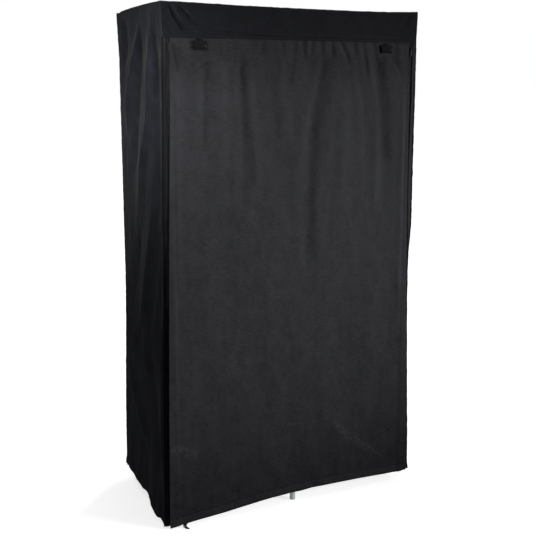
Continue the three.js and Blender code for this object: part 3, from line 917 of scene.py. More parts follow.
def top_face():
    """The top is stretched over the rails and sinks a little in the bays between them."""
    depth = spaced(front_y, back_y, cloth_step)[:, None]
    across = np.broadcast_to(across_top[None, :], (len(depth), len(across_top)))
    depth = np.broadcast_to(depth, across.shape)
    share = (depth - front_y) / (back_y - front_y)
    edges = front_seam * (1 - share) + back_seam * share
    to_sides = ramp(side_x - 0.16, side_x, np.abs(across))
    edges = edges * (1 - to_sides) + side_top(depth) * to_sides
    rails = [post_y["front"], middle_of("hanging_rail").y, post_y["back"]]
    over_rail = sum(np.exp(-((depth - y) / 0.035) ** 2) for y in rails)
    over_rail = np.clip(over_rail + np.exp(-((np.abs(across) - post_x) / 0.04) ** 2), 0, 1)
    inner = ramp(0, 0.035, depth - front_y) * ramp(0, 0.035, back_y - depth)
    inner = inner * ramp(side_x, side_x - 0.035, np.abs(across))
    wrinkles = 0.0022 * drift(61, across + 0.4 * depth, depth, 0.08, 0.06)
    wrinkles = wrinkles + 0.0007 * drift(62, across, depth, 0.025, 0.03)
    sag = 0.0065 * (1 - over_rail) - wrinkles * (1 - 0.8 * over_rail)
    z = np.maximum(edges - inner * sag, 1.5942 - 0.008 * (1 - over_rail))
    return np.stack([across, depth, z], -1), np.stack([across, depth], -1)


top_grid, top_flat = top_face()
top_panel = cloth_sheet("cloth_top", top_grid, top_flat, cover_cloth, (0, 0, 1))
declare_panel(top_panel, "top_panel")

# The header band and the two front borders: the same cloth, sewn to the top and the sides,
# though the band's copy is painted darker as painted shade.
# The band is doubled along its lower edge, and the door and both zips are sewn in behind it.
# Painted shade in the band's end creases and along its lower part, painted highlights on ridges beside.
band_painted_light = (
    ((-0.4110, 1.5960), (-0.3960, 1.5570), 0.0042, -1.1),
    ((-0.3990, 1.5650), (-0.3700, 1.5170), 0.0042, -1.1),
    ((-0.4010, 1.5970), (-0.3780, 1.5540), 0.0050, 0.9),
    ((-0.3830, 1.5900), (-0.3440, 1.5540), 0.0036, -1.0),
    ((-0.3720, 1.5900), (-0.3300, 1.5520), 0.0050, 0.7),
    ((-0.2600, 1.5200), (-0.0400, 1.5100), 0.0050, -0.5),
    ((0.3750, 1.5350), (0.4150, 1.5880), 0.0036, -0.8),
)
# The band's cloth is a darker copy of the cover cloth: painted shade.
band_dark = (0.0050, 0.0053, 0.0069)
band_light = (0.0102, 0.0108, 0.0137)
band_cloth = nonwoven("band_cloth", band_dark, band_light, painted_shading=band_painted_light)
surface(band_cloth)["Specular IOR Level"].default_value = 0.07
surface(band_cloth)["Sheen Weight"].default_value = 0.0
# Painted shade in the groove beside each border's seam and along its edge by the zip.
border_painted_shade = (((0.0014, -0.6), (0.0014, 2.2), 0.0022, -1.3), ((0.0150, -0.6), (0.0150, 2.2), 0.0016, -1.1))
border_dark = (0.0088, 0.0092, 0.0108)
border_light = (0.0172, 0.0178, 0.0206)
border_cloth = nonwoven("border_cloth", border_dark, border_light, painted_shading=border_painted_shade)
band_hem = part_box("header_band")[0].z + 0.0003
band_fold = 0.014
border_width = 0.016
border_turn_left = 0.009
border_turn_right = 0.007
border_turn_y = -0.2185
door_gap = 0.0035
zip_gap = 0.0077
door_edges = {
    -1: ([0.0, 0.5, 0.85, 1.25, 1.5], [0.4385, 0.4300, 0.4228, 0.4125, 0.4075]),
    1: ([0.0, 0.5, 0.85, 1.25, 1.5], [0.4365, 0.4255, 0.4165, 0.4110, 0.4075]),
}
band_folds = [
    ([(1.596, -0.416), (1.560, -0.398), (1.530, -0.381), (1.503, -0.368)], 0.0055, -0.0068),
    ([(1.597, -0.406), (1.565, -0.376), (1.540, -0.347), (1.511, -0.308)], 0.0060, -0.0060),
    ([(1.596, -0.411), (1.560, -0.386), (1.535, -0.362), (1.504, -0.336)], 0.0085, 0.0046),
    ([(1.592, -0.385), (1.560, -0.345), (1.535, -0.290), (1.515, -0.230)], 0.0090, 0.0022),
    ([(1.592, -0.360), (1.560, -0.300), (1.540, -0.240), (1.525, -0.180)], 0.0080, -0.0014),
    ([(1.590, 0.410), (1.560, 0.392), (1.530, 0.378), (1.507, 0.370)], 0.0060, -0.0022),
    ([(1.588, 0.398), (1.560, 0.368), (1.535, 0.340), (1.515, 0.318)], 0.0080, 0.0018),
]


def band_face():
    """The band hangs a hand's breadth down from the front's top seam, with slanting folds at its ends."""
    rows = np.concatenate([np.linspace(0, 0.78, 13), np.linspace(0.82, 1, 8)])[:, None]
    across = across_top[None, :]
    heights = front_seam[None, :] + (band_hem - front_seam[None, :]) * rows
    across = np.broadcast_to(across, heights.shape)
    out = 0.0011 * drift(71, across, heights, 0.10, 0.05)
    out = out + 0.0005 * drift(72, across + heights, heights, 0.03, 0.02)
    out = out + 0.0012 * drift(73, across, heights, 0.22, 0.2)
    out = creased(out, across, heights, band_folds)
    edges = ramp(side_x, side_x - 0.014, np.abs(across))
    edges = edges * ramp(front_seam[None, :], front_seam[None, :] - 0.012, heights)
    over_border = ramp(side_x - 0.030, side_x - 0.014, np.abs(across))
    held = 1 - 0.7 * ramp(band_hem + 0.02, band_hem, heights)
    out = out * edges * held * (1 - 0.6 * over_border)
    doubled = 0.0007 * ramp(band_hem + band_fold + 0.001, band_hem + band_fold - 0.001, heights)
    lip = 0.0006 * ramp(band_hem + 0.006, band_hem, heights) * (1 - over_border)
    x = across * (1 - bow(heights) / side_x)
    y = front_y + seam_inset - out - doubled - lip
    return np.stack([x, y, heights], -1), np.stack([across, heights], -1)


band_grid, band_flat = band_face()
band = cloth_sheet("cloth_header_band", band_grid, band_flat, band_cloth, (0, -1, 0))
declare_panel(band, "header_band")


def border_ends(side, heights):
    """The places, seen from above, of a border's seam with the side and of its inner edge by the zip."""
    seam_x = side_x - seam_inset - bow(heights) + flare(heights) + corner_bulge(side, heights)
    seam_y = stood_out(front_y + seam_inset, heights) + drawn_back(side, heights)
    flat_x = np.interp(heights, *door_edges[side]) + door_gap + zip_gap * ramp(1.05, 1.40, heights)
    flat_y = stood_out(front_y + seam_inset, heights)
    back = slack(side, heights)
    if side < 0:
        turned_x = seam_x - border_turn_left
        turned_y = seam_y - 0.002 - 0.006 * ramp(0.14, 0.10, heights)
    else:
        turned_x = seam_x - border_turn_right
        turned_y = border_turn_y + 0 * heights
    inner_x = flat_x + (turned_x - flat_x) * back
    inner_y = flat_y + (turned_y - flat_y) * back
    return seam_x, seam_y, inner_x, inner_y


def border_face(side):
    """A narrow border from its seam with the side to its inner edge beside the zip."""
    share = np.linspace(0, 1, 12)[None, :]
    low = left_hem_marks[1][0] if side < 0 else right_hem_marks[1][0]
    hem = low + 0.001 * share
    lines = np.array(sorted(hem_lines, reverse=True))[:, None]
    body = np.linspace(0, 1, int((band_hem - cover_hem) / cloth_step))[:, None]
    upper = band_hem - 0.0006 + (hem + lines[0] - band_hem) * body
    heights = np.concatenate([upper[:-1], hem + lines])
    share = np.broadcast_to(share, heights.shape)
    seam_x, seam_y, inner_x, inner_y = border_ends(side, heights)
    inner_x = inner_x + 0.0005 * drift(83 + side, heights, 0 * heights, 0.03, 1)
    seam_x = seam_x + hem_fold(heights, hem)
    x = side * (seam_x + (inner_x - seam_x) * share)
    dip = 0.0010 * drift(81 + side, heights, share, 0.05, 0.8) * np.sin(np.pi * share)
    dip = dip + 0.0020 * np.exp(-((share - 0.11) / 0.06) ** 2)
    y = seam_y + (inner_y - seam_y) * share + dip - hem_fold(heights, hem) * (1 - slack(side, heights))
    return np.stack([x, y, heights], -1), np.stack([border_width * share, heights], -1), heights - hem


border_faces = {}
for side_name, side in (("left", -1), ("right", 1)):
    face, flat, above = border_face(side)
    border_faces[side_name] = face
    border = cloth_sheet(f"cloth_border_{side_name}", face, flat, border_cloth, (0, -1, 0), above=above)
    declare_panel(border, f"front_border_{side_name}")

# The seams along the cover's edges: the panels' edges turned in and sewn, which leaves a tight,
# slightly puckered ridge of the same cloth on every corner of the box; down the front corners
# below the band the ridge is coloured near black as painted shade.
ridge_radius = 0.0013
ridge_sides = 8
pucker = 0.00045


def run_along(path):
    """How far along a path each of its points lies."""
    return np.concatenate([[0], np.cumsum(np.linalg.norm(np.diff(path, axis=0), axis=1))])


def ridge_ring(path, seed, size):
    """A closed ridge along a path, with the puckers that a lock stitch draws into it."""
    path = np.array(path)
    way = np.gradient(path, axis=0)
    way /= np.linalg.norm(way, axis=1, keepdims=True)
    side_way = np.cross(way, np.array([0.577, 0.577, 0.577]))
    side_way /= np.linalg.norm(side_way, axis=1, keepdims=True)
    up_way = np.cross(way, side_way)
    length = run_along(path)
    swell = size * (ridge_radius + pucker * drift(seed, length, 0 * length, 0.009, 1))
    path = path + 0.0004 * side_way * drift(seed + 1, length, 0 * length, 0.02, 1)[:, None]
    points, faces = [], []
    for k in range(ridge_sides):
        angle = math.tau * k / ridge_sides
        points.append(path + swell[:, None] * (math.cos(angle) * side_way + math.sin(angle) * up_way))
    points = np.stack(points, 1).reshape(-1, 3)
    for row in range(len(path) - 1):
        for k in range(ridge_sides):
            after = (k + 1) % ridge_sides
            here, there = row * ridge_sides, (row + 1) * ridge_sides
            faces.append((here + k, here + after, there + after, there + k))
    last = (len(path) - 1) * ridge_sides
    faces.append(tuple(range(ridge_sides)))
    faces.append(tuple(last + k for k in range(ridge_sides)))
    return points, faces


def seam_piece(name, paths, finish, seed, size):
    """All the seams of one kind, as one piece."""
    points, faces, count = [], [], 0
    for number, path in enumerate(paths):
        ring_points, ring_faces = ridge_ring(path, seed + 2 * number, size)
        points.append(ring_points)
        faces += [tuple(count + k for k in f) for f in ring_faces]
        count += len(ring_points)
    points = np.concatenate(points)
    piece = add_mesh(name, points, faces, finish, 80)
    lay_map(piece.data, "flat", points[:, [0, 2]] + points[:, [1, 1]])
    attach(piece, "frame_and_cover")


# Near-black ridges down the front corners below the band: painted shade in the seams' grooves.
seam_shade_dark = (0.0012, 0.0012, 0.0014)
seam_shade_light = (0.0036, 0.0036, 0.0040)
seam_shade_finish = nonwoven("seam_binding", seam_shade_dark, seam_shade_light)
corner_paths = [side_faces[name][:, 0] for name in ("left", "right")]
band_corners = [path[path[:, 2] > band_hem - 0.004] for path in corner_paths]
shaded_corners = [path[path[:, 2] < band_hem + 0.003] for path in corner_paths]
seam_paths = band_corners + [side_faces[name][:, -1] for name in ("left", "right")]
seam_paths += [side_faces[name][0] for name in ("left", "right")] + [band_grid[0], back_grid[0]]
seam_piece("cloth_seam_ridges", seam_paths, cover_cloth, 101, 1.0)
seam_piece("cloth_seam_bindings", shaded_corners, seam_shade_finish, 131, 1.15)

# The door: one cloth, gathered a little into the seam behind the band, hemmed at the foot and down
# both sides. It folds up like a concertina in ten strips; its cloth is cut into pieces at their middles.
door_half = 0.4082
door_tucked = 0.008
fold_rows = (-0.005, -0.004, -0.003, -0.002, -0.001, 0.0, 0.001, 0.002, 0.003, 0.004, 0.005)
door_play = 0.0029
door_step = 0.004
tie_clear = 0.036
door_edge_fold = 0.012
tie_x = middle_of("roll_tie_right").x
tie_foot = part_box("roll_tie_right")[0].z
strip_names = [f"door_strip_{k:02d}" for k in range(1, 11)]
door_middle = (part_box("door_strip_01")[0].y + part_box("door_strip_01")[1].y) / 2
fold_lines = [joint["pos_m"] for joint in frame["joints"] if joint["name"].startswith("door_fold")]
strip_pitch = fold_lines[0][2] - fold_lines[1][2]
door_hem_marks = ([-0.4385, -0.420, -0.402, -0.346, -0.300, -0.251, -0.200, -0.165, -0.131, -0.085, -0.043,
                   -0.020, 0.019, 0.060, 0.104, 0.170, 0.244, 0.300, 0.340, 0.380, 0.407, 0.425],
                  [0.0050, 0.0057, 0.0080, 0.0123, 0.0150, 0.0183, 0.0233, 0.0263, 0.0295, 0.0327, 0.0340,
                   0.0357, 0.0350, 0.0379, 0.0368, 0.0356, 0.0338, 0.0318, 0.0298, 0.0292, 0.0270, 0.0296])
door_folds = [
    ([(1.53, 0.106), (1.41, 0.093), (1.33, 0.073), (1.24, 0.058), (1.16, 0.048),
      (1.0, 0.040), (0.70, 0.046)],
     0.020, -0.0054),
    ([(1.48, 0.140), (1.40, 0.130), (1.30, 0.112), (1.2, 0.096), (1.05, 0.086), (0.75, 0.086)],
     0.022, 0.0036),
    ([(1.49, 0.070), (1.40, 0.062), (1.30, 0.034), (1.2, 0.014), (1.05, 0.000)], 0.017, 0.0020),
    ([(1.53, 0.232), (1.42, 0.253), (1.355, 0.279), (1.21, 0.290), (1.10, 0.288), (0.90, 0.282)],
     0.012, 0.0036),
    ([(1.52, 0.265), (1.40, 0.290), (1.33, 0.318), (1.20, 0.328), (0.90, 0.322)], 0.026, -0.0046),
    ([(1.48, 0.205), (1.41, 0.212), (1.33, 0.238), (1.20, 0.248), (1.02, 0.252)], 0.016, -0.0022),
    ([(1.46, 0.388), (1.30, 0.392), (1.05, 0.390), (0.75, 0.390), (0.4, 0.388)], 0.011, 0.0036),
    ([(1.47, -0.292), (1.38, -0.295), (1.30, -0.300), (1.18, -0.302)], 0.011, -0.0038),
    ([(1.47, -0.318), (1.38, -0.322), (1.28, -0.326)], 0.014, 0.0024),
    ([(1.49, -0.182), (1.38, -0.190), (1.31, -0.186), (1.20, -0.170), (1.05, -0.165)], 0.012, -0.0040),
    ([(1.48, -0.155), (1.36, -0.163), (1.20, -0.142), (1.0, -0.135)], 0.015, 0.0032),
    ([(1.49, -0.05), (1.38, -0.060), (1.25, -0.050), (1.12, -0.055)], 0.016, 0.0024),
    ([(1.48, -0.388), (1.38, -0.392), (1.1, -0.394), (0.7, -0.392)], 0.009, 0.0030),
    ([(1.05, -0.07), (0.85, -0.085), (0.6, -0.08), (0.4, -0.07)], 0.045, 0.0018),
    ([(0.95, 0.19), (0.7, 0.20), (0.45, 0.19), (0.25, 0.20)], 0.050, -0.0018),
    ([(0.85, -0.26), (0.6, -0.25), (0.35, -0.27), (0.15, -0.26)], 0.045, -0.0018),
]
door_gathers = [
    (-0.054, -0.048, 0.042, 0.0062), (-0.008, -0.026, 0.105, 0.0060), (0.020, 0.024, 0.046, 0.0070),
    (0.050, 0.046, 0.032, 0.0050), (0.082, 0.085, 0.036, 0.0060), (0.118, 0.126, 0.042, 0.0062),
    (0.152, 0.186, 0.050, 0.0090), (0.200, 0.206, 0.032, 0.0050), (0.232, 0.252, 0.090, 0.0080),
    (0.268, 0.292, 0.060, 0.0060), (0.352, 0.362, 0.055, 0.0050), (-0.392, -0.380, 0.060, 0.0060),
    (-0.120, -0.124, 0.045, 0.0040), (-0.215, -0.210, 0.055, 0.0040), (-0.255, -0.262, 0.040, 0.0040),
]
door_slants = [
    ([(-0.342, 1.400), (-0.318, 1.416), (-0.292, 1.432)], 0.0075, -0.0036),
    ([(-0.380, 1.426), (-0.335, 1.446), (-0.288, 1.468)], 0.0080, -0.0044),
    ([(-0.385, 1.440), (-0.335, 1.462), (-0.300, 1.476)], 0.0060, 0.0026),
    ([(0.330, 1.452), (0.360, 1.430), (0.385, 1.400)], 0.0090, -0.0030),
    ([(-0.42, 0.262), (-0.38, 0.246), (-0.34, 0.230)], 0.0080, 0.0020),
]
door_pressed = (
    ((-0.42, 0.803), (0.02, 0.812), 0.0022, 0.0006),
    ((-0.10, 0.805), (0.40, 0.801), 0.0020, 0.0003),
    ((-0.426, 0.604), (-0.08, 0.594), 0.0022, -0.0007),
    ((-0.10, 0.594), (0.314, 0.598), 0.0022, -0.0006),
    ((-0.302, 0.678), (-0.182, 0.676), 0.0020, 0.0006),
    ((-0.171, 0.272), (0.150, 0.268), 0.0022, 0.0006),
    ((0.135, 0.262), (0.345, 0.090), 0.0026, 0.0008),
)
# Painted shade and painted highlights on the door: darker bands over its top and foot, dark
# streaks in fold valleys and paler strips on fold flanks: start, end, width and paleness.
door_painted_light = (
    ((-0.620, 1.460), (0.620, 1.460), 0.120, -0.42),
    ((-0.620, 0.060), (0.620, 0.060), 0.250, -0.38),
    ((-0.402, 1.496), (-0.382, 1.400), 0.0070, -0.50),
    ((-0.346, 1.398), (-0.286, 1.436), 0.0065, -0.45),
    ((0.098, 1.460), (0.055, 1.200), 0.020, -0.50),
    ((0.062, 1.260), (0.040, 0.780), 0.018, -0.45),
    ((0.295, 1.480), (0.335, 1.100), 0.034, -0.70),
    ((-0.296, 1.440), (-0.304, 1.160), 0.013, -0.45),
    ((-0.183, 1.480), (-0.168, 1.020), 0.017, -0.45),
    ((-0.240, 1.470), (-0.240, 1.080), 0.024, 0.25),
    ((0.170, 1.400), (0.180, 0.950), 0.045, 0.25),
    ((0.396, 1.440), (0.396, 0.600), 0.010, 0.45),
)
door_scuffs = (
    ((0.135, 0.262), (0.350, 0.086), 0.0095, 1.2),
    ((0.146, 0.238), (0.300, 0.112), 0.0080, 0.7),
    ((-0.171, 0.272), (0.150, 0.268), 0.0026, 0.6),
    ((-0.430, 0.270), (-0.335, 0.226), 0.0190, 1.0),
    ((-0.400, 0.500), (-0.110, 0.515), 0.0750, 0.22),
    ((-0.060, 0.345), (0.020, 0.330), 0.0140, 0.3),
)


def door_rows():
    """Heights down the door, with close rows at each fold line, as far as the lowest strip's middle."""
    top = fold_lines[0][2] + door_tucked
    foot = fold_lines[-1][2] - strip_pitch / 2
    rows = set(np.round(spaced(top, foot, cloth_step), 6))
    for line in fold_lines:
        rows = {r for r in rows if abs(r - line[2]) > max(fold_rows) + 0.0015}
        rows |= {round(line[2] + step, 6) for step in fold_rows}
    for number in range(len(fold_lines)):
        middle = fold_lines[number][2] - strip_pitch / 2
        rows = {r for r in rows if abs(r - middle) > 0.002} | {round(middle, 6)}
    return np.array(sorted(rows, reverse=True))


def door_swell(across, heights, hem, to_edge):
    """How far the door's cloth stands forward of its middle plane; to_edge is how far off its edge is."""
    out = 0.0010 * drift(201, across, heights, 0.085, 0.65)
    out = out + 0.0006 * drift(202, across, heights, 0.034, 0.28)
    out = out + 0.00022 * drift(203, across, heights, 0.016, 0.024)
    out = out + 0.0004 * drift(204, across, heights, 0.06, 0.05)
    out = creased(out, across, heights, door_folds)
    out = creased(out, heights, across, door_slants)
    seam = fold_lines[0][2]
    for top, foot, length, rise in door_gathers:
        route = [(seam + 0.3 * length, top - 0.3 * (foot - top)), (seam, top), (seam - 1.4 * length, foot)]
        strength = 0.42 if top > 0 else 0.26
        out = out + crease(across, heights, route, 0.0074, -0.8 * strength * rise)
        out = out + crease(across - 0.013, heights, route, 0.0095, 0.6 * strength * rise)
    full = ramp(seam - 0.002, seam - 0.025, heights) * ramp(seam - 0.135, seam - 0.09, heights)
    beside_tie = ramp(tie_clear, tie_clear - 0.014, np.abs(np.abs(across) - tie_x))
    by_tie = beside_tie * ramp(tie_foot - 0.03, tie_foot, heights)
    out = out + 0.0016 * full * (1 - by_tie)
    room = door_play + 0.0055 * full * (1 - by_tie) - 0.0010 * by_tie
    out = room * np.tanh(out / room)
    edges = ramp(0, 0.02, to_edge)
    doubled = 0.0005 * ramp(door_edge_fold + 0.001, door_edge_fold - 0.001, to_edge)
    doubled = doubled + 0.0018 * ramp(0.399, 0.407, np.abs(across)) * ramp(1.42, 1.28, heights)
    out = out * edges * (1 - 0.75 * ramp(hem + 0.035, hem, heights)) + doubled
    return out + hem_fold(heights, hem)


door_across = spaced(-door_half, door_half, door_step)[None, :]
door_side = np.sign(door_across)


def door_spread(heights):
    """The door hangs from a seam that gathers it, and is wider the lower: its cloth's place across."""
    left, right = np.interp(heights, *door_edges[-1]), np.interp(heights, *door_edges[1])
    reach = np.where(door_side < 0, left, right) + 0 * door_across
    return door_across * reach / door_half, reach


door_hem = np.interp(door_spread(cover_hem)[0], *door_hem_marks)
upper_heights = np.broadcast_to(door_rows()[:, None], (len(door_rows()), door_across.shape[1]))
last_middle = upper_heights[-1, 0]
lower_lines = np.array(sorted(hem_lines, reverse=True))[:, None]
lower_heights = last_middle + (door_hem + lower_lines[0] - last_middle) * np.linspace(0, 1, 7)[1:-1, None]
door_heights = np.concatenate([upper_heights, lower_heights, door_hem + lower_lines])
door_x, door_reach = door_spread(door_heights)
door_to_edge = door_reach - np.abs(door_x)
door_lean = stood_out(front_y, door_heights) - front_y
door_forward = door_swell(door_x, door_heights, door_hem, door_to_edge)
door_y = door_middle - cloth_thickness / 2 + door_lean - door_forward
door_grid = np.stack([door_x, door_y, door_heights], -1)
door_flat = np.stack([door_x, door_heights], -1)

door_dark = (0.0136, 0.0140, 0.0162)
door_light = (0.0262, 0.0268, 0.0306)
door_cloth = nonwoven("door_cloth", door_dark, door_light, door_pressed, door_scuffs, door_painted_light)


def door_piece_rows(number):
    """The rows of one door piece: from the middle of the strip above its fold line to the next middle."""
    middles = [line[2] - strip_pitch / 2 for line in fold_lines]
    heights = door_grid[:, 0, 2]
    last = len(heights) - 1
    start = 0 if number == 0 else int(np.argmin(np.abs(heights - middles[number - 1])))
    end = last if number == len(fold_lines) else int(np.argmin(np.abs(heights - middles[number])))
    return start, end + 1


def on_strips(piece, number):
    """The lowest door piece rides on the lowest strip; each other one only has its place baked in."""
    if number == len(fold_lines):
        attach(piece, strip_names[-1])
        return
    x, y, z = fold_lines[number]
    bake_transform(piece)


door_pieces = []
for number in range(len(fold_lines) + 1):
    rows = slice(*door_piece_rows(number))
    name = f"cloth_door_{number + 1:02d}"
    above = (door_heights - door_hem)[rows]
    piece = cloth_sheet(name, door_grid[rows], door_flat[rows], door_cloth, (0, -1, 0), above=above)
    door_pieces.append(piece)

# The thread: every hem, the band's edge and both zips are sewn down with black lock stitch.
# Each stitch is a short bead of thread that lies along the row and sinks a little into the cloth.
stitch_pitch = 0.0039
stitch_length = 0.0029
thread_radius = 0.00024
stitch_lift = 0.0001


def ribs(finish, source, direction, scale, distortion=0.0):
    """Twisted or woven ribs that run one way over a finish."""
    bands = put(finish, "TexWave", wave_type="BANDS", bands_direction=direction, Scale=scale)
    bands.inputs["Distortion"].default_value = distortion
    wire(finish, coordinates(finish, source), bands.inputs["Vector"])
    return bands.outputs["Fac"]


thread_finish = new_finish("black_thread", (0.012, 0.012, 0.013), 0.5, 0.35)
raise_surface(thread_finish, ribs(thread_finish, "laid", "DIAGONAL", 700), 0.0001, 0.5)


def new_tree(name, inputs):
    """A geometry tree with named inputs; it ends in real meshes with one finish."""
    tree = bpy.data.node_groups.new(name, "GeometryNodeTree")
    tree.interface.new_socket("Geometry", in_out="INPUT", socket_type="NodeSocketGeometry")
    for label, kind in inputs:
        tree.interface.new_socket(label, in_out="INPUT", socket_type=kind)
    tree.interface.new_socket("Geometry", in_out="OUTPUT", socket_type="NodeSocketGeometry")
    return tree, tree.nodes.new("NodeGroupInput").outputs


def grow(tree, kind, links, **settings):
    """Adds a geometry node; links are (input name, source socket) pairs."""
    node = set_up(tree.nodes.new(kind), settings)
    for name, source in links:
        tree.links.new(source, node.inputs[name])
    return node


def end_tree(tree, instances, finish):
    """Makes the laid copies real, keeps where they were laid, and gives them their finish."""
    solid = grow(tree, "GeometryNodeRealizeInstances", [("Geometry", instances)])
    place = grow(tree, "GeometryNodeInputPosition", [])
    kept = [("Geometry", solid.outputs[0]), ("Value", place.outputs[0])]
    laid = grow(tree, "GeometryNodeStoreNamedAttribute", kept, data_type="FLOAT_VECTOR", Name="laid")
    smooth = grow(tree, "GeometryNodeSetShadeSmooth", [("Geometry", laid.outputs[0])])
    dressed = grow(tree, "GeometryNodeSetMaterial", [("Geometry", smooth.outputs[0]), ("Material", finish)])
    tree.links.new(dressed.outputs[0], tree.nodes.new("NodeGroupOutput").inputs[0])


def spots_along(tree, given):
    """Points at an even pitch along each line that comes in."""
    line = grow(tree, "GeometryNodeMeshToCurve", [("Mesh", given["Geometry"])])
    even = [("Curve", line.outputs[0]), ("Length", given["Pitch"])]
    return grow(tree, "GeometryNodeResampleCurve", even, mode="LENGTH")


def along_lines(name, lines, tree, inputs):
    """Runs a tree along lines of points and returns the piece that it makes, as a plain mesh."""
    points, edges = [], []
    for line in lines:
        first = len(points)
        points += [tuple(p) for p in line]
        edges += [(k, k + 1) for k in range(first, len(points) - 1)]
    guide_mesh = bpy.data.meshes.new(name)
    guide_mesh.from_pydata(points, edges, [])
    guide = set_down(name + "_guide", guide_mesh)
    modifier = guide.modifiers.new("lay", "NODES")
    modifier.node_group = tree
    for made in tree.interface.items_tree:
        if made.name in inputs:
            modifier[made.identifier] = inputs[made.name]
    return set_down(name, settled(guide))


def stitch_tree():
    """Beads of thread at an even pitch along each line that comes in."""
    tree, given = new_tree("lock_stitch", [
        ("Pitch", "NodeSocketFloat"), ("Shape", "NodeSocketVector"), ("Finish", "NodeSocketMaterial"),
    ])
    spots = spots_along(tree, given)
    bead = grow(tree, "GeometryNodeMeshUVSphere", [], Segments=6, Rings=4, Radius=1.0)
    tangent = grow(tree, "GeometryNodeInputTangent", [])
    turn = grow(tree, "FunctionNodeAlignRotationToVector", [("Vector", tangent.outputs[0])], axis="Z")
    lay = [("Points", spots.outputs[0]), ("Instance", bead.outputs[0]), ("Rotation", turn.outputs[0]),
           ("Scale", given["Shape"])]
    end_tree(tree, grow(tree, "GeometryNodeInstanceOnPoints", lay).outputs[0], given["Finish"])
    return tree


stitches = stitch_tree()
stitch_shape = (thread_radius, thread_radius, stitch_length / 2)


def sewn(name, lines, out):
    """Rows of stitches along lines on a cloth's face; out points away from the cloth."""
    lift = np.array(out, float) * stitch_lift
    inputs = {"Pitch": stitch_pitch, "Shape": stitch_shape, "Finish": thread_finish}
    return along_lines(name, [line + lift for line in lines], stitches, inputs)


def hem_row(face, above=hem_stitch_row):
    """The row of a panel's grid that lies this far above its lower edge."""
    return face[len(face) - 1 - hem_lines.index(above)]


cover_rows = {
    "side_left": ([hem_row(side_faces["left"])], (-1, 0, 0)),
    "side_right": ([hem_row(side_faces["right"])], (1, 0, 0)),
    "back": ([hem_row(back_grid)], (0, 1, 0)),
    "band": ([band_grid[-3], band_grid[-8]], (0, -1, 0)),
    "border_left": ([border_faces["left"][:, 8], hem_row(border_faces["left"])], (0, -1, 0)),
    "border_right": ([border_faces["right"][:, 8], hem_row(border_faces["right"])], (0, -1, 0)),
}
for place_name, (lines, out) in cover_rows.items():
    rows = sewn(f"stitches_{place_name}", lines, out)
    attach(rows, "frame_and_cover")

# The zips: a black nylon coil sewn to woven tape, one half on the border and one on the door's edge.
# The tapes are sewn in behind the cloth, so only the coil and a little tape show between the edges.
zip_x = middle_of("zip_slider_right").x
coil_back = 0.0030
tooth_pitch = 0.0014
tooth_reach = 0.0036
tooth_depth = 0.00075
wire_radius = 0.00036
tape_thickness = 0.0005
tape_in = 0.0120
tape_y = door_middle + 0.0010
zip_foot = {-1: 0.0055, 1: 0.0290}
door_sewn_columns = (1, 3, -2, -4)
door_sewn_hem = (hem_stitch_row, hem_foot_row)
tape_dark = (0.0050, 0.0051, 0.0058)
tape_light = (0.0110, 0.0112, 0.0124)
nylon_dark = (0.011, 0.011, 0.013)
nylon_light = (0.026, 0.026, 0.029)

zip_tape_finish = new_finish("zip_tape_weave", (0.0040, 0.0040, 0.0044), 0.75, 0.12)
tape_ribs = ribs(zip_tape_finish, "UV", "Y", 420, 0.6)
raise_surface(zip_tape_finish, tape_ribs, 0.00015, 0.7)
tint(zip_tape_finish, tape_ribs, tape_dark, tape_light)
coil_nylon = new_finish("coil_nylon", (0.010, 0.010, 0.011), 0.5, 0.25)
nylon_clouds = stretched_noise(coil_nylon, "laid", (1, 1, 1), 240, 2)
tint(coil_nylon, nylon_clouds, nylon_dark, nylon_light)


def tooth_tree():
    """Bent wire teeth at an even pitch along each line that comes in."""
    tree, given = new_tree("zip_teeth", [
        ("Pitch", "NodeSocketFloat"), ("Wire", "NodeSocketFloat"), ("Turn", "NodeSocketVector"),
        ("Bend", "NodeSocketVector"), ("Finish", "NodeSocketMaterial"),
    ])
    spots = spots_along(tree, given)
    half_turn = {"Start Angle": -math.pi / 2, "Sweep Angle": math.pi}
    arc = grow(tree, "GeometryNodeCurveArc", [], Resolution=6, Radius=1.0, **half_turn)
    bent = grow(tree, "GeometryNodeTransform", [("Geometry", arc.outputs[0]), ("Scale", given["Bend"])])
    section = grow(tree, "GeometryNodeCurvePrimitiveCircle", [("Radius", given["Wire"])], Resolution=4)
    sweep = [("Curve", bent.outputs[0]), ("Profile Curve", section.outputs[0])]
    tooth = grow(tree, "GeometryNodeCurveToMesh", sweep, **{"Fill Caps": True})
    lay = [("Points", spots.outputs[0]), ("Instance", tooth.outputs[0]), ("Rotation", given["Turn"])]
    end_tree(tree, grow(tree, "GeometryNodeInstanceOnPoints", lay).outputs[0], given["Finish"])
    return tree


def joined(name, parts):
    """Puts several meshes with the same finish into one piece."""
    whole = bmesh.new()
    for part in parts:
        whole.from_mesh(part.data)
    mesh = bpy.data.meshes.new(name)
    whole.to_mesh(mesh)
    whole.free()
    for slot_made in parts[0].data.materials:
        mesh.materials.append(slot_made)
    for part in parts:
        bpy.data.objects.remove(part)
    return set_down(name, mesh)


teeth = tooth_tree()


def coil(name, top, foot, inward):
    """Both zips' coil halves between two heights; inward is 1 for the half on the border."""
    halves = []
    for side in (-1, 1):
        towards = -side * inward
        x = side * zip_x - towards * coil_back
        shift = 0 if inward > 0 else tooth_pitch / 2
        inputs = {
            "Pitch": tooth_pitch, "Wire": wire_radius, "Finish": coil_nylon,
            "Turn": (0, 0, 0 if towards > 0 else math.pi), "Bend": (tooth_reach, tooth_depth, 1),
        }
        line = [(x, door_middle, top - shift), (x, door_middle, max(foot, zip_foot[side]))]
        halves.append(along_lines(f"{name}_{side}", [line], teeth, inputs))
    return joined(name, halves)


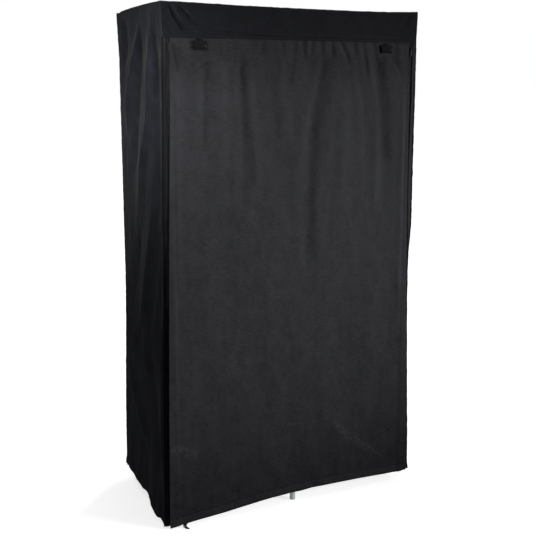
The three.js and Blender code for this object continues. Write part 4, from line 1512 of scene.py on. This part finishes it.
def tape(name, heights, inward):
    """Both zips' tapes between heights; the door's half lies under the door, the other under the border."""
    halves = []
    for side in (-1, 1):
        z = np.unique(np.maximum(heights, zip_foot[side]))[::-1, None]
        share = np.linspace(0, 1, 7)[None, :]
        if inward > 0:
            inner_x, inner_y = border_ends(side, z)[2:]
            outer = inner_x + 0.0030 - 0.0022 * slack(side, z)
            across = zip_x + 0.0002 + (outer - zip_x - 0.0002) * share
            y = tape_y + (inner_y + 0.0032 - tape_y) * share ** 1.6
        else:
            across = zip_x - tape_in + (tape_in - 0.0002) * share + 0 * z
            y = tape_y + 0 * across
        z = np.broadcast_to(z, across.shape)
        face = np.stack([side * across, y, z], -1)
        flat = np.stack([across, z], -1)
        halves.append(cloth_sheet(f"{name}_{side}", face, flat, zip_tape_finish, (0, -1, 0), tape_thickness))
    return joined(name, halves)


border_tape = tape("zip_tape_borders", spaced(band_hem + 0.006, zip_foot[-1], 0.012), 1)
border_coil = coil("zip_coil_borders", band_hem, zip_foot[-1], 1)
for piece in (border_tape, border_coil):
    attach(piece, "frame_and_cover")
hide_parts("zip_tape_left", "zip_tape_right")
for number, cloth_piece in enumerate(door_pieces):
    start, end = door_piece_rows(number)
    heights = door_grid[start:end, 0, 2]
    top, foot = band_hem if number == 0 else heights[0], heights[-1]
    rows = [door_grid[start:end, column] for column in door_sewn_columns]
    if number == len(fold_lines):
        rows += [hem_row(door_grid, above) for above in door_sewn_hem]
    going_along = [
        tape(f"zip_tape_door_{number + 1:02d}", heights, -1),
        coil(f"zip_coil_door_{number + 1:02d}", top, foot, -1),
        sewn(f"stitches_door_{number + 1:02d}", rows, (0, -1, 0)),
    ]
    for piece in [cloth_piece] + going_along:
        on_strips(piece, number)
    if number < len(strip_names):
        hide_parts(strip_names[number])

# The sliders: black-painted zinc, two plates on a post with a bail over the front one. The zip is
# shut, so each slider stands at the top under the band, and its pull hangs from the bail.
plate_thickness = 0.0011
plate_top_half = 0.0043
plate_foot_half = 0.0032
plate_ease = 0.00025
bail_width = 0.0021
bail_thickness = 0.0009
bail_start = 0.0036
hook_rise = 0.008
bail_reach = 0.0020
bail_turn = 0.0014
post_radius = 0.0011
post_drop = 0.0026
flange_half = 0.0005
flange_foot = -0.0036
flange_top = 0.0034
flange_depth = 0.0016
flange_out = 0.0037
flange_lean_degrees = 7
pull_thickness = 0.0012
pull_half = 0.0028
pull_hole = 0.0014
eye_half = 0.0015
paint_black = (0.010, 0.010, 0.012)
paint_worn = (0.05, 0.05, 0.052)

zinc_paint = new_finish("zinc_paint", (0.008, 0.008, 0.010), 0.5, 0.14)
zinc_scuffs = stretched_noise(zinc_paint, "Object", (1, 1, 0.4), 900, 4, 0.7)
tint(zinc_paint, ranged(zinc_paint, zinc_scuffs, 0.66, 0.80), paint_black, paint_worn)
roughen(zinc_paint, ranged(zinc_paint, zinc_scuffs, 0.3, 0.7, 0.45, 0.65))
raise_surface(zinc_paint, zinc_scuffs, 0.00003, 0.4)


def round_points(x, y, radius, start=0, end=360, steps=24):
    """Points along an arc; a whole circle leaves out its last point, which is its first again."""
    whole = end - start == 360
    angles = np.radians(np.linspace(start, end, steps + (1 if whole else 0)))
    kept = angles[:-1] if whole else angles
    return [(x + radius * math.cos(a), y + radius * math.sin(a)) for a in kept]


def slab(name, outlines, thickness, ease_by, place, finish):
    """A flat plate with eased edges, from its outline and the outlines of its holes."""
    curve = bpy.data.curves.new(name, "CURVE")
    curve.dimensions = "2D"
    curve.fill_mode = "BOTH"
    curve.extrude = thickness / 2 - ease_by
    curve.bevel_depth = ease_by
    curve.bevel_resolution = 2
    for outline in outlines:
        line = curve.splines.new("POLY")
        line.points.add(len(outline) - 1)
        for point, (x, y) in zip(line.points, outline):
            point.co = (x, y, 0, 1)
        line.use_cyclic_u = True
    mesh = settled(set_down(name, curve))
    mesh.transform(place)
    points = [v.co[:] for v in mesh.vertices]
    faces = [f.vertices[:] for f in mesh.polygons]
    return add_mesh(name, points, faces, finish, 35)


def strap(name, path, thickness, low, high, place, finish):
    """A strip that follows a path of (u, v) points and reaches from low to high across it."""
    path = np.array(path, float)
    way = np.gradient(path, axis=0)
    way /= np.linalg.norm(way, axis=1, keepdims=True)
    aside = np.stack([-way[:, 1], way[:, 0]], 1)
    half, soft = thickness / 2, thickness / 4
    ring = [(-half, low + soft), (soft - half, low), (half - soft, low), (half, low + soft),
            (half, high - soft), (half - soft, high), (soft - half, high), (-half, high - soft)]
    length = run_along(path)
    points, flats, faces = [], [], []
    for k in range(len(path)):
        for off, across in ring:
            u, v = path[k] + aside[k] * off
            points.append(place @ Vector((u, v, across)))
            flats.append((length[k], across))
    for k in range(len(path) - 1):
        for j in range(8):
            after = (j + 1) % 8
            faces.append((8 * k + j, 8 * k + after, 8 * k + 8 + after, 8 * k + 8 + j))
    faces += [tuple(range(8)), tuple(range(8 * len(path) - 8, 8 * len(path)))]
    piece = add_mesh(name, points, faces, finish, 60)
    lay_map(piece.data, "flat", np.array(flats))
    return piece


facing_front = Matrix.Rotation(math.pi / 2, 4, "X")
along_x = Matrix(((0, 0, 1, 0), (1, 0, 0, 0), (0, 1, 0, 0), (0, 0, 0, 1)))
for side_name in ("left", "right"):
    low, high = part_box(f"zip_slider_{side_name}")
    pull_low, pull_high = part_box(f"zip_pull_{side_name}")
    x = (low.x + high.x) / 2
    pull_y = (pull_low.y + pull_high.y) / 2
    hook_z = low.z + hook_rise
    front_plate_y = low.y + bail_start + plate_thickness / 2
    back_plate_y = high.y - plate_thickness / 2
    half_height = (high.z - low.z) / 2 - plate_ease
    shield = round_points(0, half_height - 0.0012, plate_top_half, 8, 172, 13)
    shield = [(px, min(pz, half_height)) for px, pz in shield]
    shield += round_points(0, -half_height + plate_foot_half * 0.7, plate_foot_half, 200, 340, 9)
    post = round_points(0, 0, post_radius, steps=16)
    parts = []
    for label, y in (("front", front_plate_y), ("back", back_plate_y)):
        place = Matrix.Translation((x, y, (low.z + high.z) / 2)) @ facing_front
        parts.append(slab(f"plate_{label}", [shield], plate_thickness, plate_ease, place, zinc_paint))
    place = Matrix.Translation((x, (front_plate_y + back_plate_y) / 2, high.z - post_drop)) @ facing_front
    parts.append(slab("post", [post], back_plate_y - front_plate_y, 0.0001, place, zinc_paint))
    for flange_side in (-1, 1):
        flange = [(-flange_half, flange_foot), (flange_half, flange_foot),
                  (flange_half, flange_top), (-flange_half, flange_top)]
        for y in (front_plate_y + 0.0006, back_plate_y - 0.0006):
            lean_in = Matrix.Rotation(flange_side * math.radians(flange_lean_degrees), 4, "Y")
            spot = Matrix.Translation((x + flange_side * flange_out, y, (low.z + high.z) / 2 - 0.0006))
            place = spot @ lean_in @ facing_front
            parts.append(slab("flange", [flange], flange_depth, 0.0002, place, zinc_paint))
    bail_y = front_plate_y - bail_reach
    arch = [(front_plate_y, hook_z + 0.0030), (bail_y, hook_z + 0.0029)]
    arch += round_points(bail_y, hook_z + 0.0015, bail_turn, 90, 180, 7)
    arch += round_points(bail_y, hook_z - 0.0030, bail_turn, 180, 270, 7)
    arch += [(front_plate_y, hook_z - 0.0046)]
    arch = [(min(y, front_plate_y), z) for y, z in arch]
    bail_sides = (x - bail_width / 2, x + bail_width / 2)
    parts.append(strap("bail", arch, bail_thickness, *bail_sides, along_x, zinc_paint))
    slider = joined(f"cast_slider_{side_name}", parts)
    stand_for(slider, f"zip_slider_{side_name}", f"zip_slider_{side_name}")
    foot = pull_low.z + pull_half
    tab = round_points(0, pull_high.z - pull_half * 0.75, pull_half * 0.75, 10, 170, 9)
    tab += [(-pull_half * 0.62, hook_z - 0.0055)] + round_points(0, foot, pull_half, 180, 360, 15)
    tab += [(pull_half * 0.62, hook_z - 0.0055)]
    eye_foot = hook_z - 0.0044
    eye_top = hook_z - 0.0007
    eye = [(-eye_half, eye_foot), (eye_half, eye_foot), (eye_half, eye_top), (-eye_half, eye_top)]
    hole = round_points(0, foot + 0.0006, pull_hole, steps=20)
    place = Matrix.Translation((x, pull_y, 0)) @ facing_front
    pull = slab(f"cast_pull_{side_name}", [tab, eye, hole], pull_thickness, 0.0003, place, zinc_paint)
    stand_for(pull, f"zip_pull_{side_name}", f"zip_pull_{side_name}")

# The roll-up ties: woven webbing that hangs from the door's top seam. Each is folded on itself in
# layers across its stem, with a press stud in front. Unfolded, it goes round the rolled door and holds it.
webbing_thickness = 0.0010
tie_layers = 4
tie_half = 0.0205
stem_half = 0.010
stud_radius = 0.0042
bundle_foot_gap = 0.0030
bundle_top_gap = 0.0040
webbing_dark = (0.0050, 0.0051, 0.0060)
webbing_light = (0.0140, 0.0144, 0.0165)
tie_shift = {"left": 0.003, "right": -0.002}
tie_tilt_degrees = {"left": -2.5, "right": 1.0}
stud_outline = [
    (0.0, 0.0),
    (stud_radius, 0.0),
    (stud_radius, 0.0004),
    (stud_radius * 0.85, 0.0011),
    (stud_radius * 0.5, 0.0015),
    (0.0, 0.0016),
]

webbing = new_finish("webbing", (0.006, 0.006, 0.007), 0.80, 0.05)
webbing_warp = ribs(webbing, "UV", "Y", 330, 0.4)
webbing_weft = ribs(webbing, "UV", "X", 380, 0.4)
webbing_weave = calc(webbing, "MULTIPLY", webbing_warp, webbing_weft)
tint(webbing, webbing_weave, webbing_dark, webbing_light)
raise_surface(webbing, webbing_weave, 0.0003, 0.7)
for side_name in ("left", "right"):
    low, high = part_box(f"roll_tie_{side_name}")
    x = (low.x + high.x) / 2 + tie_shift[side_name]
    step = (high.y - low.y - webbing_thickness) / (tie_layers - 1)
    path = [(x + tie_half - 0.002, high.y - webbing_thickness / 2)]
    for layer in range(tie_layers - 1):
        way = -1 if layer % 2 == 0 else 1
        y = high.y - webbing_thickness / 2 - layer * step
        turn_x = x + way * (tie_half - (0.0015 if layer else 0.0005))
        path += [(x + (turn_x - x) * share, y) for share in (-0.5, 0, 0.5)]
        angles = np.radians(np.linspace(90, -90, 9))
        reach = step / 2 * (1.9 if layer == 2 else 1.2)
        path += [(turn_x + way * reach * math.cos(a), y - step / 2 + step / 2 * math.sin(a)) for a in angles]
    outer_y = low.y + webbing_thickness / 2
    path += [(x + share * tie_half, outer_y - 0.0006 * (1 - abs(share))) for share in (-0.5, 0, 0.5)]
    path += [(x + tie_half, outer_y)]
    tilt = Matrix.Rotation(math.radians(tie_tilt_degrees[side_name]), 4, "Y")
    middle = Matrix.Translation((x, 0, (low.z + high.z) / 2))
    place = middle @ tilt @ middle.inverted()
    bundle_ends = (low.z + bundle_foot_gap, high.z - bundle_top_gap)
    bundle = strap("bundle", path, webbing_thickness, *bundle_ends, place, webbing)
    stem_path = [
        (high.y + 0.0003, high.z + 0.0020),
        (high.y + 0.0001, high.z - 0.002),
        (high.y - 0.0005, high.z - 0.012),
        (high.y - 0.0005, low.z + 0.006),
    ]
    stem = strap("stem", stem_path, webbing_thickness, x - stem_half, x + stem_half, along_x, webbing)
    tie = joined(f"woven_tie_{side_name}", [bundle, stem])
    stand_for(tie, f"roll_tie_{side_name}", f"roll_tie_{side_name}")
    stud_spot = (x + tie_half * 0.72, low.y + 0.0001, (low.z + high.z) / 2 - 0.0035)
    stud_place = Matrix.Translation(stud_spot) @ facing_front
    stud = turned(f"press_stud_{side_name}", stud_outline, 28, stud_place, zinc_paint)
    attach(stud, f"roll_tie_{side_name}")

# The hem loops: narrow woven tape round the bottom front rail, sewn to the hem to hold it down.
# The left one keeps a long tail that hangs below the cover and curls forward on the floor, with an eyelet.
loop_thickness = 0.0010
loop_gap = 0.0004
loop_width = 0.008
eyelet_radius = 0.0021
tail_thickness = loop_thickness + loop_gap
tail_ease = 0.0003
loop_dark = (0.006, 0.006, 0.007)
loop_light = (0.018, 0.018, 0.019)
tail_lift = math.radians(13)
tail_route = np.array([(-0.3579, -0.2060), (-0.3640, -0.2095), (-0.3730, -0.2140), (-0.3820, -0.2195),
                       (-0.3890, -0.2270), (-0.3920, -0.2360), (-0.3890, -0.2445), (-0.3825, -0.2500)])
tail_halves = np.array([0.0052, 0.0056, 0.0058, 0.0058, 0.0056, 0.0052, 0.0042, 0.0018])[:, None]

loop_tape = new_finish("loop_tape", (0.010, 0.010, 0.011), 0.7, 0.25)
loop_weave = ribs(loop_tape, "UV", "X", 450, 0.8)
tint(loop_tape, loop_weave, loop_dark, loop_light)
raise_surface(loop_tape, loop_weave, 0.0002, 0.7)
eyelet_metal = new_finish("eyelet_metal", (0.60, 0.60, 0.58), 0.3, 0.5)
surface(eyelet_metal)["Metallic"].default_value = 0.9
eyelet_scuffs = stretched_noise(eyelet_metal, "Object", (1, 1, 1), 1400, 3)
roughen(eyelet_metal, ranged(eyelet_metal, eyelet_scuffs, 0.3, 0.7, 0.22, 0.45))
for loop_name in ("left", "middle_left", "middle_right", "right"):
    low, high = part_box(f"hem_loop_{loop_name}")
    rail_y, rail_z = post_y["front"], rail_height
    ring_radius = high.z - rail_z - loop_thickness / 2
    tail_half = loop_thickness / 2 + loop_gap / 2
    opening = math.degrees(math.asin(tail_half / ring_radius))
    foot = low.z if loop_name != "left" else rail_z - ring_radius - 0.006
    path = [(rail_y + tail_half, foot), (rail_y + tail_half, rail_z - ring_radius - 0.001)]
    path += round_points(rail_y, rail_z, ring_radius, -90 + opening, 270 - opening, 49)
    path += [(rail_y - tail_half, rail_z - ring_radius - 0.001), (rail_y - tail_half, foot)]
    ring = strap(f"tape_{loop_name}", path, loop_thickness, low.x, low.x + loop_width, along_x, loop_tape)
    if loop_name == "left":
        foot_z = low.z + 0.001
        top_z = rail_z - ring_radius + 0.001
        slide = high.x - low.x - loop_width - 0.0004
        left_edge = []
        for share in (0, 0.25, 0.5, 0.75, 0.9):
            edge_x = low.x + slide * share ** 1.4 + 0.0003
            left_edge.append((edge_x, top_z + (foot_z - top_z) * share))
        right_edge = [(px + loop_width - 0.0006, pz) for px, pz in reversed(left_edge)]
        tip = [(low.x + slide + 0.0010, foot_z + 0.0002), (low.x + slide + loop_width - 0.0004, foot_z)]
        place = Matrix.Translation((0, rail_y, 0)) @ facing_front
        tail_outline = left_edge + tip + right_edge
        hanging = slab("tail", [tail_outline], tail_thickness, tail_ease, place, loop_tape)
        way = np.gradient(tail_route, axis=0)
        aside = np.stack([-way[:, 1], way[:, 0]], 1) / np.linalg.norm(way, axis=1, keepdims=True)
        lying_edge = [tuple(p) for p in tail_route + aside * tail_halves]
        lying_edge += [tuple(p) for p in (tail_route - aside * tail_halves)[::-1]]
        eyelet_x, eyelet_y = tail_route[-3]
        hole = round_points(eyelet_x, eyelet_y, eyelet_radius - 0.0004, steps=24)
        tip_y = tail_route[-1][1]
        slope = Matrix.Rotation(tail_lift, 4, "X")
        on_floor = Matrix.Translation((0, tip_y, 0.0012)) @ slope @ Matrix.Translation((0, -tip_y, 0))
        floor_part = slab("lying", [lying_edge, hole], tail_thickness, tail_ease, on_floor, loop_tape)
        ring = joined(f"tape_{loop_name}_with_tail", [ring, hanging, floor_part])
        turns = np.radians(range(0, 360, 45))
        rim = [(eyelet_radius + 0.0005 * math.cos(a), 0.0007 * math.sin(a)) for a in turns]
        spot = on_floor @ Matrix.Translation((eyelet_x, eyelet_y, 0.0001))
        eyelet = turned("eyelet", [(r, h * 1.3) for r, h in rim], 28, spot, eyelet_metal)
        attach(eyelet, "frame_and_cover")
    stand_for(ring, f"hem_loop_{loop_name}", "frame_and_cover")
